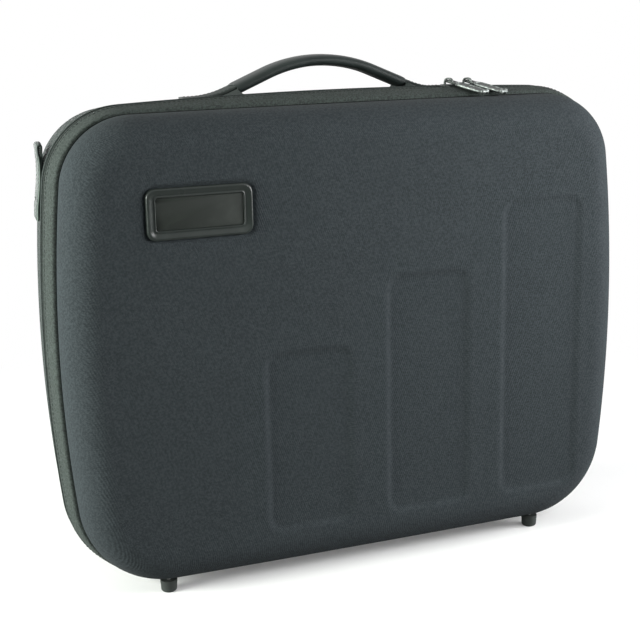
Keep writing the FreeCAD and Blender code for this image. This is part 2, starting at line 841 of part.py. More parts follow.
def handle_plates():
    """Steel plates inside the shell, under the humps."""
    plates = body("handle_plates")
    low = anchor_face() - S["anchor_thickness"]
    drawing = sketch(plates, "XY_Plane", low)
    for side in (-1, 1):
        middle = S["anchor_place"] * side
        draw_box(drawing, middle - S["anchor_length"] / 2, middle + S["anchor_length"] / 2,
                 handle_y() - S["anchor_width"] / 2, handle_y() + S["anchor_width"] / 2)
    for x in anchor_screw_places():
        draw_circle(drawing, x, handle_y(), S["screw_shank"])
    pad(plates, drawing, S["anchor_thickness"])
    return plates


def handle_screws():
    """Four screws up through the plates into the humps."""
    screws = body("handle_screws")
    low = anchor_face() - S["anchor_thickness"]
    for x in anchor_screw_places():
        drawing = sketch(screws, "XY_Plane", low)
        draw_circle(drawing, x, handle_y(), S["screw_head"])
        pad(screws, drawing, S["screw_head_height"], turned=True)
        drawing = sketch(screws, "XY_Plane", low)
        draw_circle(drawing, x, handle_y(), S["screw_shank"])
        pad(screws, drawing, S["anchor_screw_length"])
    return screws


# Side loops, folded over at the top, on plates let into the shell
def loop_outside():
    """Distance of the loop's outer face from the middle of the case."""
    return RIDGE_LINE.half_width - S["loop_inset"]


def loop_inside():
    """Distance of the loop's inner face from the middle of the case."""
    return loop_outside() - S["loop_layer"] * 2 - S["loop_eye"]


def loop_seat():
    return loop_inside() - S["loop_plate"]


def side_loop(label, side):
    loop = body(label)
    outer, inner = loop_outside(), loop_inside()
    bend = (S["loop_layer"] * 2 + S["loop_eye"]) / 2
    eye = S["loop_eye"] / 2
    top = LOOP_TOP - bend
    drawing = sketch(loop, "XZ_Plane", S["loop_front"] + S["loop_width"])
    low, foot = LOOP_BOTTOM, LOOP_BOTTOM + S["loop_seat_height"]
    middle = (outer + inner) / 2 * side
    for reach, base in ((bend, low), (eye, foot)):
        draw_path(drawing, [(middle + reach, top), (middle, top + reach, reach, 1),
                            (middle - reach, top, reach, 1), (middle - reach, base), (middle + reach, base)])
    pad(loop, drawing, S["loop_width"])
    drawing = sketch(loop, "YZ_Plane", (loop_outside() + S["overrun"]) * side)
    for y, z in loop_rivet_spots():
        draw_circle(drawing, y, z, S["loop_rivet"])
    pocket(loop, drawing, S["overrun"] * 4, turned=side < 0)
    return loop


def loop_rivet_spots():
    middle = LOOP_BOTTOM + S["loop_seat_height"] / 2
    return [(S["loop_front"] + S["loop_width"] * share, middle) for share in LOOP_RIVET_SHARES]


def loop_plates():
    """Stiffening plates between the loops and the shell."""
    plates = body("loop_plates")
    for side in (-1, 1):
        drawing = sketch(plates, "YZ_Plane", loop_seat() * side)
        draw_box(drawing, S["loop_front"], S["loop_front"] + S["loop_width"],
                 LOOP_BOTTOM, LOOP_BOTTOM + S["loop_seat_height"])
        for y, z in loop_rivet_spots():
            draw_circle(drawing, y, z, S["loop_rivet"])
        pad(plates, drawing, S["loop_plate"], turned=side < 0)
    return plates


def loop_rivets():
    """Two rivets on each side, headed outside, that end in the shell's wall."""
    rivets = body("loop_rivets")
    for side in (-1, 1):
        for y, z in loop_rivet_spots():
            drawing = sketch(rivets, "YZ_Plane", loop_outside() * side)
            draw_circle(drawing, y, z, S["loop_rivet_head"])
            pad(rivets, drawing, S["loop_rivet_head_height"], turned=side < 0)
            drawing = sketch(rivets, "YZ_Plane", loop_outside() * side)
            draw_circle(drawing, y, z, S["loop_rivet"])
            pad(rivets, drawing, loop_outside() - loop_seat(), turned=side > 0)
    return rivets


# Name plate, bare
def badge_frame():
    frame = body("badge_frame")
    floor = FRONT + S["badge_seat"]
    drawing = sketch(frame, "XZ_Plane", floor)
    draw_round_box(drawing, *badge_box(ZERO), S["badge_corner"])
    draw_round_box(drawing, *badge_box(S["badge_rim"]), S["badge_corner"] / 2)
    pad(frame, drawing, S["badge_seat"] + S["badge_proud"])
    ease(frame, S["badge_bevel"], in_plane("y", FRONT - S["badge_proud"]), "Chamfer")
    return frame


def badge_plate():
    plate = body("badge_plate")
    drawing = sketch(plate, "XZ_Plane", FRONT + S["badge_seat"])
    draw_round_box(drawing, *badge_box(S["badge_rim"]), S["badge_corner"] / 2)
    pad(plate, drawing, S["badge_seat"] + S["badge_proud"] - S["plate_recess"])
    return plate


# Fabric hinge along the bottom
def hinge_axis_z():
    return CENTRE - RIDGE_LINE.bottom + S["hinge_drop"]


def hinge_strip():
    """Strip that bridges the two shells along the bottom, with a bead about the hinge line."""
    strip = body("hinge_strip")
    half = S["strip_thickness"] / 2
    low, high = hinge_axis_z() - half, hinge_axis_z() + half
    reach = root(S["hinge_bead"] * S["hinge_bead"] - half * half)
    drawing = sketch(strip, "YZ_Plane", -HINGE_REACH + S["stop_length"])
    draw_path(drawing, [(ZIP - reach, low), (ZIP + reach, low, S["hinge_bead"], 1), (REAR, low), (REAR, high),
                        (RIDGE + S["strip_clearance"], high), (RIDGE + S["strip_clearance"], low)])
    pad(strip, drawing, (HINGE_REACH - S["stop_length"]) * 2)
    return strip


# Zip sliders and their pulls, made round their own origin and then set on the track
def track_slope(place_along):
    """Downward slope of the ridge, in degrees, at a place along it."""
    rise = RIDGE_LINE.bows[1].value * 2 * place_along.value / RIDGE_LINE.half_width.value ** 2
    return math.degrees(math.atan(rise))


def set_on_track(part_body, place_along, lift, extra=None):
    height = CENTRE + RIDGE_LINE.height_at(place_along) + lift
    tilt = FreeCAD.Rotation(FreeCAD.Vector(0, 1, 0), track_slope(place_along))
    if extra:
        tilt = tilt.multiply(extra)
    part_body.Placement = FreeCAD.Placement(
        FreeCAD.Vector(place_along.value, ZIP.value, height.value), tilt)
    part_body.setExpression("Placement.Base.x", place_along.text)
    part_body.setExpression("Placement.Base.y", ZIP.text)
    part_body.setExpression("Placement.Base.z", height.text)


def zip_slider(label, place_along):
    """Two plates joined by a post between the teeth, with a bridge over the pull's bar."""
    slider = body(label)
    half_length, half_width = S["slider_length"] / 2, S["slider_width"] / 2
    top = S["slider_play"] - S["teeth_inset"]
    sole_top = -S["teeth_inset"] - S["teeth_thickness"] - S["slider_play"]
    drawing = sketch(slider, "XY_Plane", top)
    draw_round_box(drawing, -half_length, half_length, -half_width, half_width, S["slider_round"])
    pad(slider, drawing, S["slider_plate"])
    drawing = sketch(slider, "XY_Plane", top)
    draw_box(drawing, -S["post_length"] / 2, S["post_length"] / 2, -S["post_width"] / 2, S["post_width"] / 2)
    pad(slider, drawing, top - sole_top, turned=True)
    drawing = sketch(slider, "XY_Plane", sole_top)
    draw_round_box(drawing, -half_length, half_length, -half_width, half_width, S["slider_round"])
    pad(slider, drawing, S["slider_sole"], turned=True)
    set_on_track(slider, place_along, ZERO)
    return slider


def slider_bridge(label, place_along):
    """Arched bridge of a slider, its plane turned to the way the pull hangs."""
    bridge = body(label)
    foot = S["slider_play"] - S["teeth_inset"] + S["slider_plate"]
    outer, inner = S["bridge_reach"], S["bridge_reach"] - S["bridge_band"]
    high = S["bridge_height"] - foot
    over, under = outer / 2, inner / 2
    drawing = sketch(bridge, "XZ_Plane", -S["bridge_width"] / 2)
    draw_path(drawing, [
        (outer, foot), (outer, foot + high - over), (outer - over, foot + high, over, 1),
        (-outer + over, foot + high), (-outer, foot + high - over, over, 1), (-outer, foot),
        (-inner, foot), (-inner, foot + high - S["bridge_band"] - under),
        (-inner + under, foot + high - S["bridge_band"], under, -1),
        (inner - under, foot + high - S["bridge_band"]),
        (inner, foot + high - S["bridge_band"] - under, under, -1), (inner, foot)])
    pad(bridge, drawing, S["bridge_width"], turned=True)
    turn = FreeCAD.Rotation(FreeCAD.Vector(0, 0, 1), S["pull_turn_angle"].value - 90)
    set_on_track(bridge, place_along, ZERO, turn)
    return bridge


def zip_pull(label, place_along):
    """Tag with a barred eye, a sunk face on each side of its rim and two studs at its tip."""
    pull = body(label)
    bar, half_bar = S["pull_bar"], S["pull_bar"] / 2
    neck, half = S["pull_neck"] / 2, S["pull_width"] / 2
    length = S["pull_length"]
    neck_end = S["pull_neck_length"]
    thin, thick = S["pull_neck_thickness"], S["pull_thickness"]
    window = S["pull_window_width"] / 2
    tip = half * PULL_TIP_SHARE
    drawing = sketch(pull, "XZ_Plane", ZERO)
    draw_circle(drawing, ZERO, ZERO, half_bar)
    pad(pull, drawing, neck * 2, both=True)
    drawing = sketch(pull, "XY_Plane", ZERO)
    draw_box(drawing, ZERO, neck_end, -neck, neck)
    draw_box(drawing, half_bar / 2, half_bar + S["pull_window_length"], -window, window)
    pad(pull, drawing, thin, both=True)
    drawing = sketch(pull, "XY_Plane", ZERO)
    draw_path(drawing, [(length - tip, -half), (length, -half + tip, tip, 1), (length, half - tip),
                        (length - tip, half, tip, 1), (neck_end + bar, half), (neck_end - bar, neck),
                        (neck_end - bar, -neck), (neck_end + bar, -half)])
    pad(pull, drawing, thick, both=True)
    rim = S["pull_rim"]
    for way in (-1, 1):
        drawing = sketch(pull, "XY_Plane", thick / 2 * way)
        draw_box(drawing, neck_end + bar, length - tip, -half + rim, half - rim)
        pocket(pull, drawing, S["pull_rim_depth"], turned=way < 0)
    drawing = sketch(pull, "XY_Plane", ZERO)
    for side in (-1, 1):
        draw_circle(drawing, length - tip / 2, half * side / 2, S["pull_stud"])
    pad(pull, drawing, thick + S["pull_rim_depth"] * 2, both=True)
    turn = FreeCAD.Rotation(FreeCAD.Vector(0, 0, 1), S["pull_turn_angle"].value - 90)
    dip = FreeCAD.Rotation(FreeCAD.Vector(0, 1, 0), S["pull_dip_angle"].value)
    height = CENTRE + RIDGE_LINE.height_at(place_along) + S["bar_height"]
    pull.Placement = FreeCAD.Placement(
        FreeCAD.Vector(place_along.value, ZIP.value, height.value), turn.multiply(dip))
    pull.setExpression("Placement.Base.x", place_along.text)
    pull.setExpression("Placement.Base.y", ZIP.text)
    pull.setExpression("Placement.Base.z", height.text)
    return pull


# Stops that close the ends of the zip
def zip_stops(label, teeth_edge, teeth_root):
    stops = body(label)
    near, far = sorted((teeth_edge, teeth_root), key=lambda size: size.value)
    outer = RIDGE_LINE.grown(-S["teeth_inset"] + S["stop_wall"])
    inner = RIDGE_LINE.grown(-S["teeth_inset"])
    ring(stops, outer, inner, near, far)
    keep = sketch(stops, "XZ_Plane", far)
    reach = HINGE_REACH + S["stop_length"]
    draw_box(keep, -HINGE_REACH, HINGE_REACH, -S["overrun"], CENTRE)
    pocket(stops, keep, far - near, turned=True)
    trim = sketch(stops, "XZ_Plane", far)
    high = CENTRE * 3
    for side in (-1, 1):
        edges = sorted((reach * side, S["half_width"] * 2 * side), key=lambda size: size.value)
        draw_box(trim, edges[0], edges[1], -S["overrun"], high)
    pocket(stops, trim, far - near, turned=True)
    crown = sketch(stops, "XZ_Plane", far)
    draw_box(crown, -reach * 2, reach * 2, CENTRE, high)
    pocket(stops, crown, far - near, turned=True)
    return stops


# Linings, pads, blocks, straps and pocket inside
def lining(label, station, line, toward_front):
    """Flat lining sheet on the inner face of a shell."""
    sheet_body = body(label)
    drawing = sketch(sheet_body, "XZ_Plane", station)
    draw_outline(drawing, line.grown(-S["lining_margin"]))
    pad(sheet_body, drawing, S["lining_thickness"], turned=toward_front)
    return sheet_body


def rear_floor():
    return BACK - S["wall"] - S["lining_thickness"]


def pad_half_width():
    return S["half_width"] - S["pad_side_margin"]


def pad_half_height():
    return S["half_height"] - S["pad_end_margin"]


def laptop_pad():
    cushion = body("laptop_pad")
    drawing = sketch(cushion, "XZ_Plane", rear_floor())
    draw_round_box(drawing, -pad_half_width(), pad_half_width(), CENTRE - pad_half_height(),
                   CENTRE + pad_half_height(), S["pad_corner"])
    pad(cushion, drawing, S["pad_thickness"])
    return cushion


def pad_face():
    return rear_floor() - S["pad_thickness"]


def corner_blocks():
    """Four L shaped foam blocks that hold the laptop's corners."""
    blocks = body("corner_blocks")
    drawing = sketch(blocks, "XZ_Plane", pad_face())
    leg, wall = S["block_leg"], S["block_wall"]
    for across in (-1, 1):
        for up in (-1, 1):
            x, z = pad_half_width() * across, CENTRE + pad_half_height() * up
            points = [(x, z), (x - leg * across, z), (x - leg * across, z - wall * up),
                      (x - wall * across, z - wall * up), (x - wall * across, z - leg * up),
                      (x, z - leg * up)]
            draw_path(drawing, points)
    pad(blocks, drawing, S["block_depth"])
    return blocks


def laptop_strap(label, half):
    """One half of the two straps that hold the laptop, sewn to the end of the pad."""
    strap = body(label)
    end = CENTRE + pad_half_height() * half
    overlap = CENTRE + S["patch_length"] / 2 * half * -1
    level = pad_face() - S["block_depth"]
    if half > 0:
        level = level - S["laptop_strap_thickness"] - S["patch_thickness"]
    for side in (-1, 1):
        middle = S["laptop_strap_place"] * side
        left = middle - S["laptop_strap_width"] / 2
        right = middle + S["laptop_strap_width"] / 2
        drawing = sketch(strap, "XZ_Plane", level)
        low, high = sorted((end, overlap), key=lambda size: size.value)
        draw_box(drawing, left, right, low, high)
        pad(strap, drawing, S["laptop_strap_thickness"])
        drawing = sketch(strap, "XZ_Plane", pad_face())
        inner = end - S["laptop_strap_thickness"] * half
        low, high = sorted((end, inner), key=lambda size: size.value)
        draw_box(drawing, left, right, low, high)
        pad(strap, drawing, pad_face() - level)
    return strap


def strap_patches():
    """Hook and loop patches between the two halves of each strap."""
    patches = body("strap_patches")
    level = pad_face() - S["block_depth"] - S["laptop_strap_thickness"]
    drawing = sketch(patches, "XZ_Plane", level)
    for side in (-1, 1):
        middle = S["laptop_strap_place"] * side
        draw_box(drawing, middle - S["laptop_strap_width"] / 2, middle + S["laptop_strap_width"] / 2,
                 CENTRE - S["patch_length"] / 2, CENTRE + S["patch_length"] / 2)
    pad(patches, drawing, S["patch_thickness"])
    return patches


def pocket_face():
    return FRONT + S["wall"] + S["lining_thickness"]


def lid_pocket():
    """Document pocket on the lid's lining, open at its top."""
    pouch = body("lid_pocket")
    half, wall = POCKET_REACH, S["pocket_wall"]
    back = pocket_face() + S["pocket_depth"]
    drawing = sketch(pouch, "XZ_Plane", back)
    draw_box(drawing, -half, half, POCKET_BASE, POCKET_TOP)
    pad(pouch, drawing, S["pocket_depth"])
    drawing = sketch(pouch, "XZ_Plane", pocket_face())
    draw_box(drawing, -half + wall, half - wall, POCKET_BASE + wall, POCKET_TOP + S["overrun"])
    pocket(pouch, drawing, S["pocket_depth"] - wall)
    return pouch


def pocket_binding():
    """Elastic binding folded over the pocket's open edge."""
    binding = body("pocket_binding")
    half, wall = POCKET_REACH, S["binding_wall"]
    back = pocket_face() + S["pocket_depth"]
    front = back - S["pocket_wall"]
    low, high = POCKET_TOP - S["binding_height"], POCKET_TOP + wall
    drawing = sketch(binding, "YZ_Plane", -half + S["pocket_wall"])
    draw_path(drawing, [(front - wall, high), (front - wall, low), (front, low), (front, POCKET_TOP),
                        (back, POCKET_TOP), (back, low), (back + wall, low), (back + wall, high)])
    pad(binding, drawing, (half - S["pocket_wall"]) * 2)
    return binding


# Build every piece
front_edge, front_root, rear_edge, rear_root = teeth_edges()
pieces = [
    front_shell(),
    front_welt(),
    front_band(),
    zip_half("front_zip_half", RIDGE, front_edge, front_root),
    zip_stops("front_zip_stops", front_edge, front_root),
    badge_frame(),
    badge_plate(),
    feet("front_feet", front_foot_y()),
    lining("front_lining", FRONT + S["wall"], SHELL_LINE, True),
    lid_pocket(),
    pocket_binding(),
    rear_shell(),
    zip_half("rear_zip_half", REAR, rear_edge, rear_root),
    zip_stops("rear_zip_stops", rear_edge, rear_root),
    hinge_strip(),
    feet("rear_feet", S["rear_foot_place"]),
    handle_strap(),
    handle_grip(),
    handle_plates(),
    handle_screws(),
    side_loop("side_loop_left", -1),
    side_loop("side_loop_right", 1),
    loop_plates(),
    loop_rivets(),
    lining("rear_lining", BACK - S["wall"], BACK_LINE, False),
    laptop_pad(),
    corner_blocks(),
    laptop_strap("lower_laptop_strap", -1),
    laptop_strap("upper_laptop_strap", 1),
    strap_patches(),
]

# Foot screws stop on the inner faces of the shells
front_inside = CENTRE - SHELL_LINE.bottom - SHELL_LINE.growth + S["wall"] + S["overrun"] / 2
rise = (S["rear_foot_place"] + S["screw_head"] - REAR) * tangent(S["draft_angle"])
rear_inside = CENTRE - RIDGE_LINE.bottom + S["ridge_bottom_bow"] + S["wall"] + rise
pieces.append(foot_screws("front_foot_screws", front_foot_y(), front_inside))
pieces.append(foot_screws("rear_foot_screws", S["rear_foot_place"], rear_inside))

for name, where in (("inner", S["inner_place"]), ("outer", S["outer_place"])):
    slider = zip_slider("zip_slider_" + name, where)
    bridge = slider_bridge("bridge_" + name, where)
    whole = doc.addObject("Part::Fuse", "slider_with_bridge_" + name)
    whole.Base, whole.Tool = slider, bridge
    slider.Label = "plates_" + name
    whole.Label = "zip_slider_" + name
    pieces.append(whole)
    pieces.append(zip_pull("zip_pull_" + name, where))

doc.recompute()
for thing in doc.Objects:
    if "Invalid" in thing.State or "Error" in thing.State:
        raise RuntimeError("%s failed: %s" % (thing.Name, thing.State))
for piece in pieces:
    if piece.Shape.isNull() or not piece.Shape.isValid():
        raise RuntimeError("%s has no valid shape" % piece.Label)

os.makedirs("parts", exist_ok=True)
for piece in pieces:
    piece.Shape.exportStep("parts/%s.step" % piece.Label)
    print(piece.Label, len(piece.Shape.Solids), round(piece.Shape.Volume))
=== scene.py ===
"""Looks of a moulded laptop case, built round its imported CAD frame.

Sizes are in millimetres where nothing else is said.
"""

from __future__ import annotations

import logging
import math
from collections.abc import Callable, Sequence
from dataclasses import dataclass
from enum import Enum

import bmesh
import bpy
import numpy as np
from mathutils import Matrix, Vector

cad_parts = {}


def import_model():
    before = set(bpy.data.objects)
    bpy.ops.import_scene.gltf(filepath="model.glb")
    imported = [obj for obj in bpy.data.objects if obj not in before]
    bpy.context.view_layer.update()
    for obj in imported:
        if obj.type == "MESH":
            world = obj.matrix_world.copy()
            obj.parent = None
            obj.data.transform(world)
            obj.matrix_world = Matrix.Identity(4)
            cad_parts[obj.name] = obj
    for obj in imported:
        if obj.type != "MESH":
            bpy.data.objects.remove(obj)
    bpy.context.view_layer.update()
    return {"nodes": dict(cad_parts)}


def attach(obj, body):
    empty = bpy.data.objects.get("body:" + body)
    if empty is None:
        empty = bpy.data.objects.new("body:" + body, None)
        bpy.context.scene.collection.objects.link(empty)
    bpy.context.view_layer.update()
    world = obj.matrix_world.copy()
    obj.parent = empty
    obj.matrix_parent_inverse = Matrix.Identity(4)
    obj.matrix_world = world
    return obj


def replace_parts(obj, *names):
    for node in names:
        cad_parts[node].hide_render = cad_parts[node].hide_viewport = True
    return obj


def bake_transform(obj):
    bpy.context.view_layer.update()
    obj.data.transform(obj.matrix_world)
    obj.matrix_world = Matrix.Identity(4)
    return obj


LOG = logging.getLogger("laptop_case")
MM = 0.001
CENTRE_Z = 171.0 * MM
X_AXIS, Y_AXIS, Z_AXIS = np.eye(3)
WHITE = (1.0, 1.0, 1.0, 1.0)

# The name plate's left, right, low and high side, and its corner radius
BADGE_BOX = (-151.6, -80.0, 253.4, 287.4)
BADGE_CORNER = 6.4

# Draft of the rear shell's sides, in degrees
DRAFT = 6.3

Colour = tuple[float, float, float]
Pair = tuple[float, float]
Box = tuple[float, float, float, float]
Piece = bpy.types.Object
Points = np.ndarray


class Stations:
    """Places along Y, in metres, where the case's pieces meet."""

    front = -61.55 * MM
    lip = -33.15 * MM
    seam = -32.05 * MM
    band = -30.95 * MM
    ridge = -16.05 * MM
    zip = -11.05 * MM
    rear = -6.05 * MM
    back = 63.45 * MM
    handle = 23.95 * MM


class Body(Enum):
    """CAD bodies that a piece can ride on."""

    BASE = "base"
    LID = "lid"
    INNER_SLIDER = "inner_slider"
    OUTER_SLIDER = "outer_slider"
    INNER_PULL = "inner_pull"
    OUTER_PULL = "outer_pull"


# Shader maths


class Term:
    """A value in a node tree that adds, multiplies and so on like a number."""

    def __init__(self, tree: Tree, socket: bpy.types.NodeSocket) -> None:
        """Wraps a socket.

        Args:
            tree: The tree that holds the socket.
            socket: The output socket.
        """
        self.tree = tree
        self.socket = socket

    def join(self, operation: str, *others: Term | float) -> Term:
        """Joins this value to others with a maths node of a named operation."""
        node = self.tree.add("ShaderNodeMath", {"operation": operation}, dict(enumerate((self, *others))))
        return Term(self.tree, node.outputs[0])

    def __add__(self, other: Term | float) -> Term:
        """Sum."""
        return self.join("ADD", other)

    def __sub__(self, other: Term | float) -> Term:
        """Difference."""
        return self.join("SUBTRACT", other)

    def __rsub__(self, other: float) -> Term:
        """Difference from a number."""
        return self * -1.0 + other

    def __mul__(self, other: Term | float) -> Term:
        """Product."""
        return self.join("MULTIPLY", other)

    def __pow__(self, other: Term | float) -> Term:
        """Power."""
        return self.join("POWER", other)

    __radd__ = __add__
    __rmul__ = __mul__

    def most(self, other: Term | float) -> Term:
        """The greater of two values."""
        return self.join("MAXIMUM", other)

    def sine(self) -> Term:
        """Sine of the value in radians."""
        return self.join("SINE")

    def step(self, low: float, high: float) -> Term:
        """Smooth step from 0 at low to 1 at high.

        Args:
            low: The value where the step starts.
            high: The value where it ends.

        Returns:
            The step.
        """
        node = self.tree.add(
            "ShaderNodeMapRange",
            {"interpolation_type": "SMOOTHSTEP"},
            {"Value": self, "From Min": low, "From Max": high},
        )
        return Term(self.tree, node.outputs["Result"])


class Tree:
    """A node tree while it is put together."""

    def __init__(self, nodes: bpy.types.NodeTree) -> None:
        """Starts with an empty tree.

        Args:
            nodes: Blender's own tree.
        """
        self.nodes = nodes
        self.nodes.nodes.clear()

    def add(
        self,
        kind: str,
        settings: dict[str, object] | None = None,
        sockets: dict[str | int, object] | None = None,
    ) -> bpy.types.Node:
        """Adds a node.

        Args:
            kind: Blender's node type.
            settings: The node's own properties.
            sockets: Its inputs, by name or number, as terms or constants.

        Returns:
            The node.
        """
        node = self.nodes.nodes.new(kind)
        for name, value in (settings or {}).items():
            setattr(node, name, value)
        for name, value in (sockets or {}).items():
            self.feed(node.inputs[name], value)
        return node

    def feed(self, socket: bpy.types.NodeSocket, value: object) -> None:
        """Links a term to a socket, or sets its constant.

        Args:
            socket: The input socket.
            value: A term or a constant.
        """
        if isinstance(value, Term):
            self.nodes.links.new(value.socket, socket)
        else:
            socket.default_value = value

    def source(self, kind: str, **sockets: object) -> Term:
        """The first output of a new node.

        Args:
            kind: Blender's node type.
            sockets: Its inputs.

        Returns:
            The output.
        """
        return Term(self, self.add(kind, sockets=sockets).outputs[0])

    def rays(self, *kinds: str) -> Term:
        """1 where the ray is of one of some kinds, and 0 elsewhere.

        Args:
            kinds: Blender's names of the kinds.

        Returns:
            The switch.
        """
        path = self.add("ShaderNodeLightPath")
        switch, *others = (Term(self, path.outputs[f"Is {kind} Ray"]) for kind in kinds)
        for other in others:
            switch = switch.most(other)
        return switch

    def shown(self, share: Term, first: Term, second: Term, output: bpy.types.Node) -> None:
        """Leads a mix of two shaders to an output.

        Args:
            share: How far the mix is to the second.
            first: The shader at share 0.
            second: The shader at share 1.
            output: The output node.
        """
        mix = self.add("ShaderNodeMixShader", sockets={0: share, 1: first, 2: second})
        self.feed(output.inputs["Surface"], Term(self, mix.outputs[0]))


class Shader(Tree):
    """A material's node tree with one principled surface."""

    def __init__(self, name: str) -> None:
        """Starts a material.

        Args:
            name: The material's name.
        """
        self.material = bpy.data.materials.new(name)
        self.material.use_nodes = True
        super().__init__(self.material.node_tree)
        self.surface = self.add("ShaderNodeBsdfPrincipled")
        self.look = Term(self, self.surface.outputs["BSDF"])
        self.output = self.add("ShaderNodeOutputMaterial", sockets={"Surface": self.look})
        self.coordinates = Term(self, self.add("ShaderNodeTexCoord").outputs["Object"])

    def axes(self) -> tuple[Term, Term, Term]:
        """The surface point's X, Y and Z in the row frame.

        Returns:
            The three terms.
        """
        node = self.add("ShaderNodeSeparateXYZ", sockets={0: self.coordinates})
        x, y, z = (Term(self, socket) for socket in node.outputs)
        return x, y, z

    def noise(self, scale: float, detail: float) -> Term:
        """Noise from 0 to 1.

        Args:
            scale: Cells in a metre.
            detail: Octaves.

        Returns:
            The noise.
        """
        return self.source("ShaderNodeTexNoise", Vector=self.coordinates, Scale=scale, Detail=detail)

    def blend(self, first: Colour, second: Colour, share: Term) -> Term:
        """Colour between two others.

        Args:
            first: The colour at share 0.
            second: The colour at share 1.
            share: How far it is to the second.

        Returns:
            The colour.
        """
        sockets = {"Factor": share, 6: (*first, 1.0), 7: (*second, 1.0)}
        node = self.add("ShaderNodeMix", {"data_type": "RGBA"}, sockets)
        return Term(self, node.outputs[2])

    def bump(self, height: Term, depth: float) -> Term:
        """A surface normal pushed about by a height.

        Args:
            height: The height, about 0 to 1.
            depth: The real depth of a height of 1, in metres.

        Returns:
            The normal.
        """
        return self.source("ShaderNodeBump", Height=height, Distance=depth)

    def finish(self, **sockets: object) -> bpy.types.Material:
        """Feeds the principled surface.

        Args:
            sockets: Its inputs, with underscores for spaces.

        Returns:
            The material.
        """
        for name, value in sockets.items():
            self.feed(self.surface.inputs[name.replace("_", " ")], value)
        return self.material


# Finishes


def shaded(colour: Colour, share: float) -> Colour:
    """A colour made lighter or darker.

    Args:
        colour: The colour.
        share: What its parts are multiplied by.

    Returns:
        The new colour.
    """
    red, green, blue = (part * share for part in colour)
    return red, green, blue


def around(middle: float, noise: Term, spread: float) -> Term:
    """A value that noise moves about its middle.

    Args:
        middle: The value at noise 0.5.
        noise: The noise, from 0 to 1.
        spread: Distance between its lowest and its highest value.

    Returns:
        The value.
    """
    return noise * spread + (middle - spread / 2)


@dataclass(frozen=True)
class Cloth:
    """Woven or knitted cover.

    Attributes:
        name: Material name.
        slot: The record's material slot; not used.
        colour: Base colour.
        speckle: How much lighter single threads get, as a share.
        pitch: Distance between threads, in metres.
        depth: Depth of the weave, in metres.
        roughness: Surface roughness.
        sheen: Weight of the fuzz at grazing angles.
        grain: Size of the blotches in the dye, in cells a metre.
    """

    name: str
    slot: str
    colour: Colour
    speckle: float = 0.3
    pitch: float = 1.5 * MM
    depth: float = 0.2 * MM
    roughness: float = 0.85
    sheen: float = 0.03
    grain: float = 800.0

    def make(self) -> bpy.types.Material:
        """Builds the material.

        Returns:
            The material.
        """
        slant, crossing, blotch = 0.35, 1.3, 22.0
        grain_share, cloud_share, thread_share = 0.8, 0.2, 0.3
        shader = Shader(self.name)
        x, y, z = shader.axes()
        turn = 2 * math.pi / self.pitch
        ribs = ((x + y) * turn + z * (turn * slant)).sine()
        threads = ((z - y) * (turn * crossing)).sine()
        grain = shader.noise(self.grain, 3.0)
        cloud = shader.noise(blotch, 2.0)
        lightness = grain.step(0.32, 0.68) * grain_share + cloud * cloud_share + ribs * threads * thread_share
        dark = shaded(self.colour, 1.0 - self.speckle)
        light = shaded(self.colour, 1.0 + self.speckle)
        height = ribs * 0.3 + threads * 0.2 + grain * 0.5
        return shader.finish(
            Base_Color=shader.blend(dark, light, lightness),
            Roughness=around(self.roughness, grain, 0.16),
            Normal=shader.bump(height, self.depth),
            Sheen_Weight=self.sheen,
            Sheen_Roughness=0.5,
            Specular_IOR_Level=0.03,
        )


@dataclass(frozen=True)
class Moulded:
    """Rubber or plastic.

    Attributes:
        name: Material name.
        slot: The record's material slot; not used.
        colour: Base colour.
        roughness: Surface roughness.
        coat: Weight of a clear coat.
        shine: Level of its own reflection.
        depth: Depth of the grain, in metres.
        grain: Grains in a metre.
    """

    name: str
    slot: str
    colour: Colour
    roughness: float = 0.4
    coat: float = 0.0
    shine: float = 0.25
    depth: float = 0.02 * MM
    grain: float = 1300.0

    def make(self) -> bpy.types.Material:
        """Builds the material.

        Returns:
            The material.
        """
        shader = Shader(self.name)
        grain = shader.noise(self.grain, 2.0)
        wear = shader.noise(60.0, 4.0)
        light = shaded(self.colour, 1.35)
        return shader.finish(
            Base_Color=shader.blend(self.colour, light, wear.step(0.45, 0.75)),
            Roughness=around(self.roughness, wear, 0.14),
            Normal=shader.bump(grain, self.depth),
            Coat_Weight=self.coat,
            Coat_Roughness=0.18,
            Specular_IOR_Level=self.shine,
        )


@dataclass(frozen=True)
class Metal:
    """Plated or lacquered metal.

    Attributes:
        name: Material name.
        slot: The record's material slot; not used.
        colour: Base colour.
        roughness: Surface roughness.
    """

    name: str
    slot: str
    colour: Colour
    roughness: float

    def make(self) -> bpy.types.Material:
        """Builds the material.

        Returns:
            The material.
        """
        shader = Shader(self.name)
        scratch = shader.noise(900.0, 5.0)
        wear = shader.noise(420.0, 3.0)
        light = shaded(self.colour, 2.4)
        return shader.finish(
            Base_Color=shader.blend(self.colour, light, wear.step(0.4, 0.7)),
            Roughness=around(self.roughness, scratch, 0.2),
            Metallic=1.0,
            Normal=shader.bump(scratch, 0.01 * MM),
        )


Finish = Cloth | Moulded | Metal


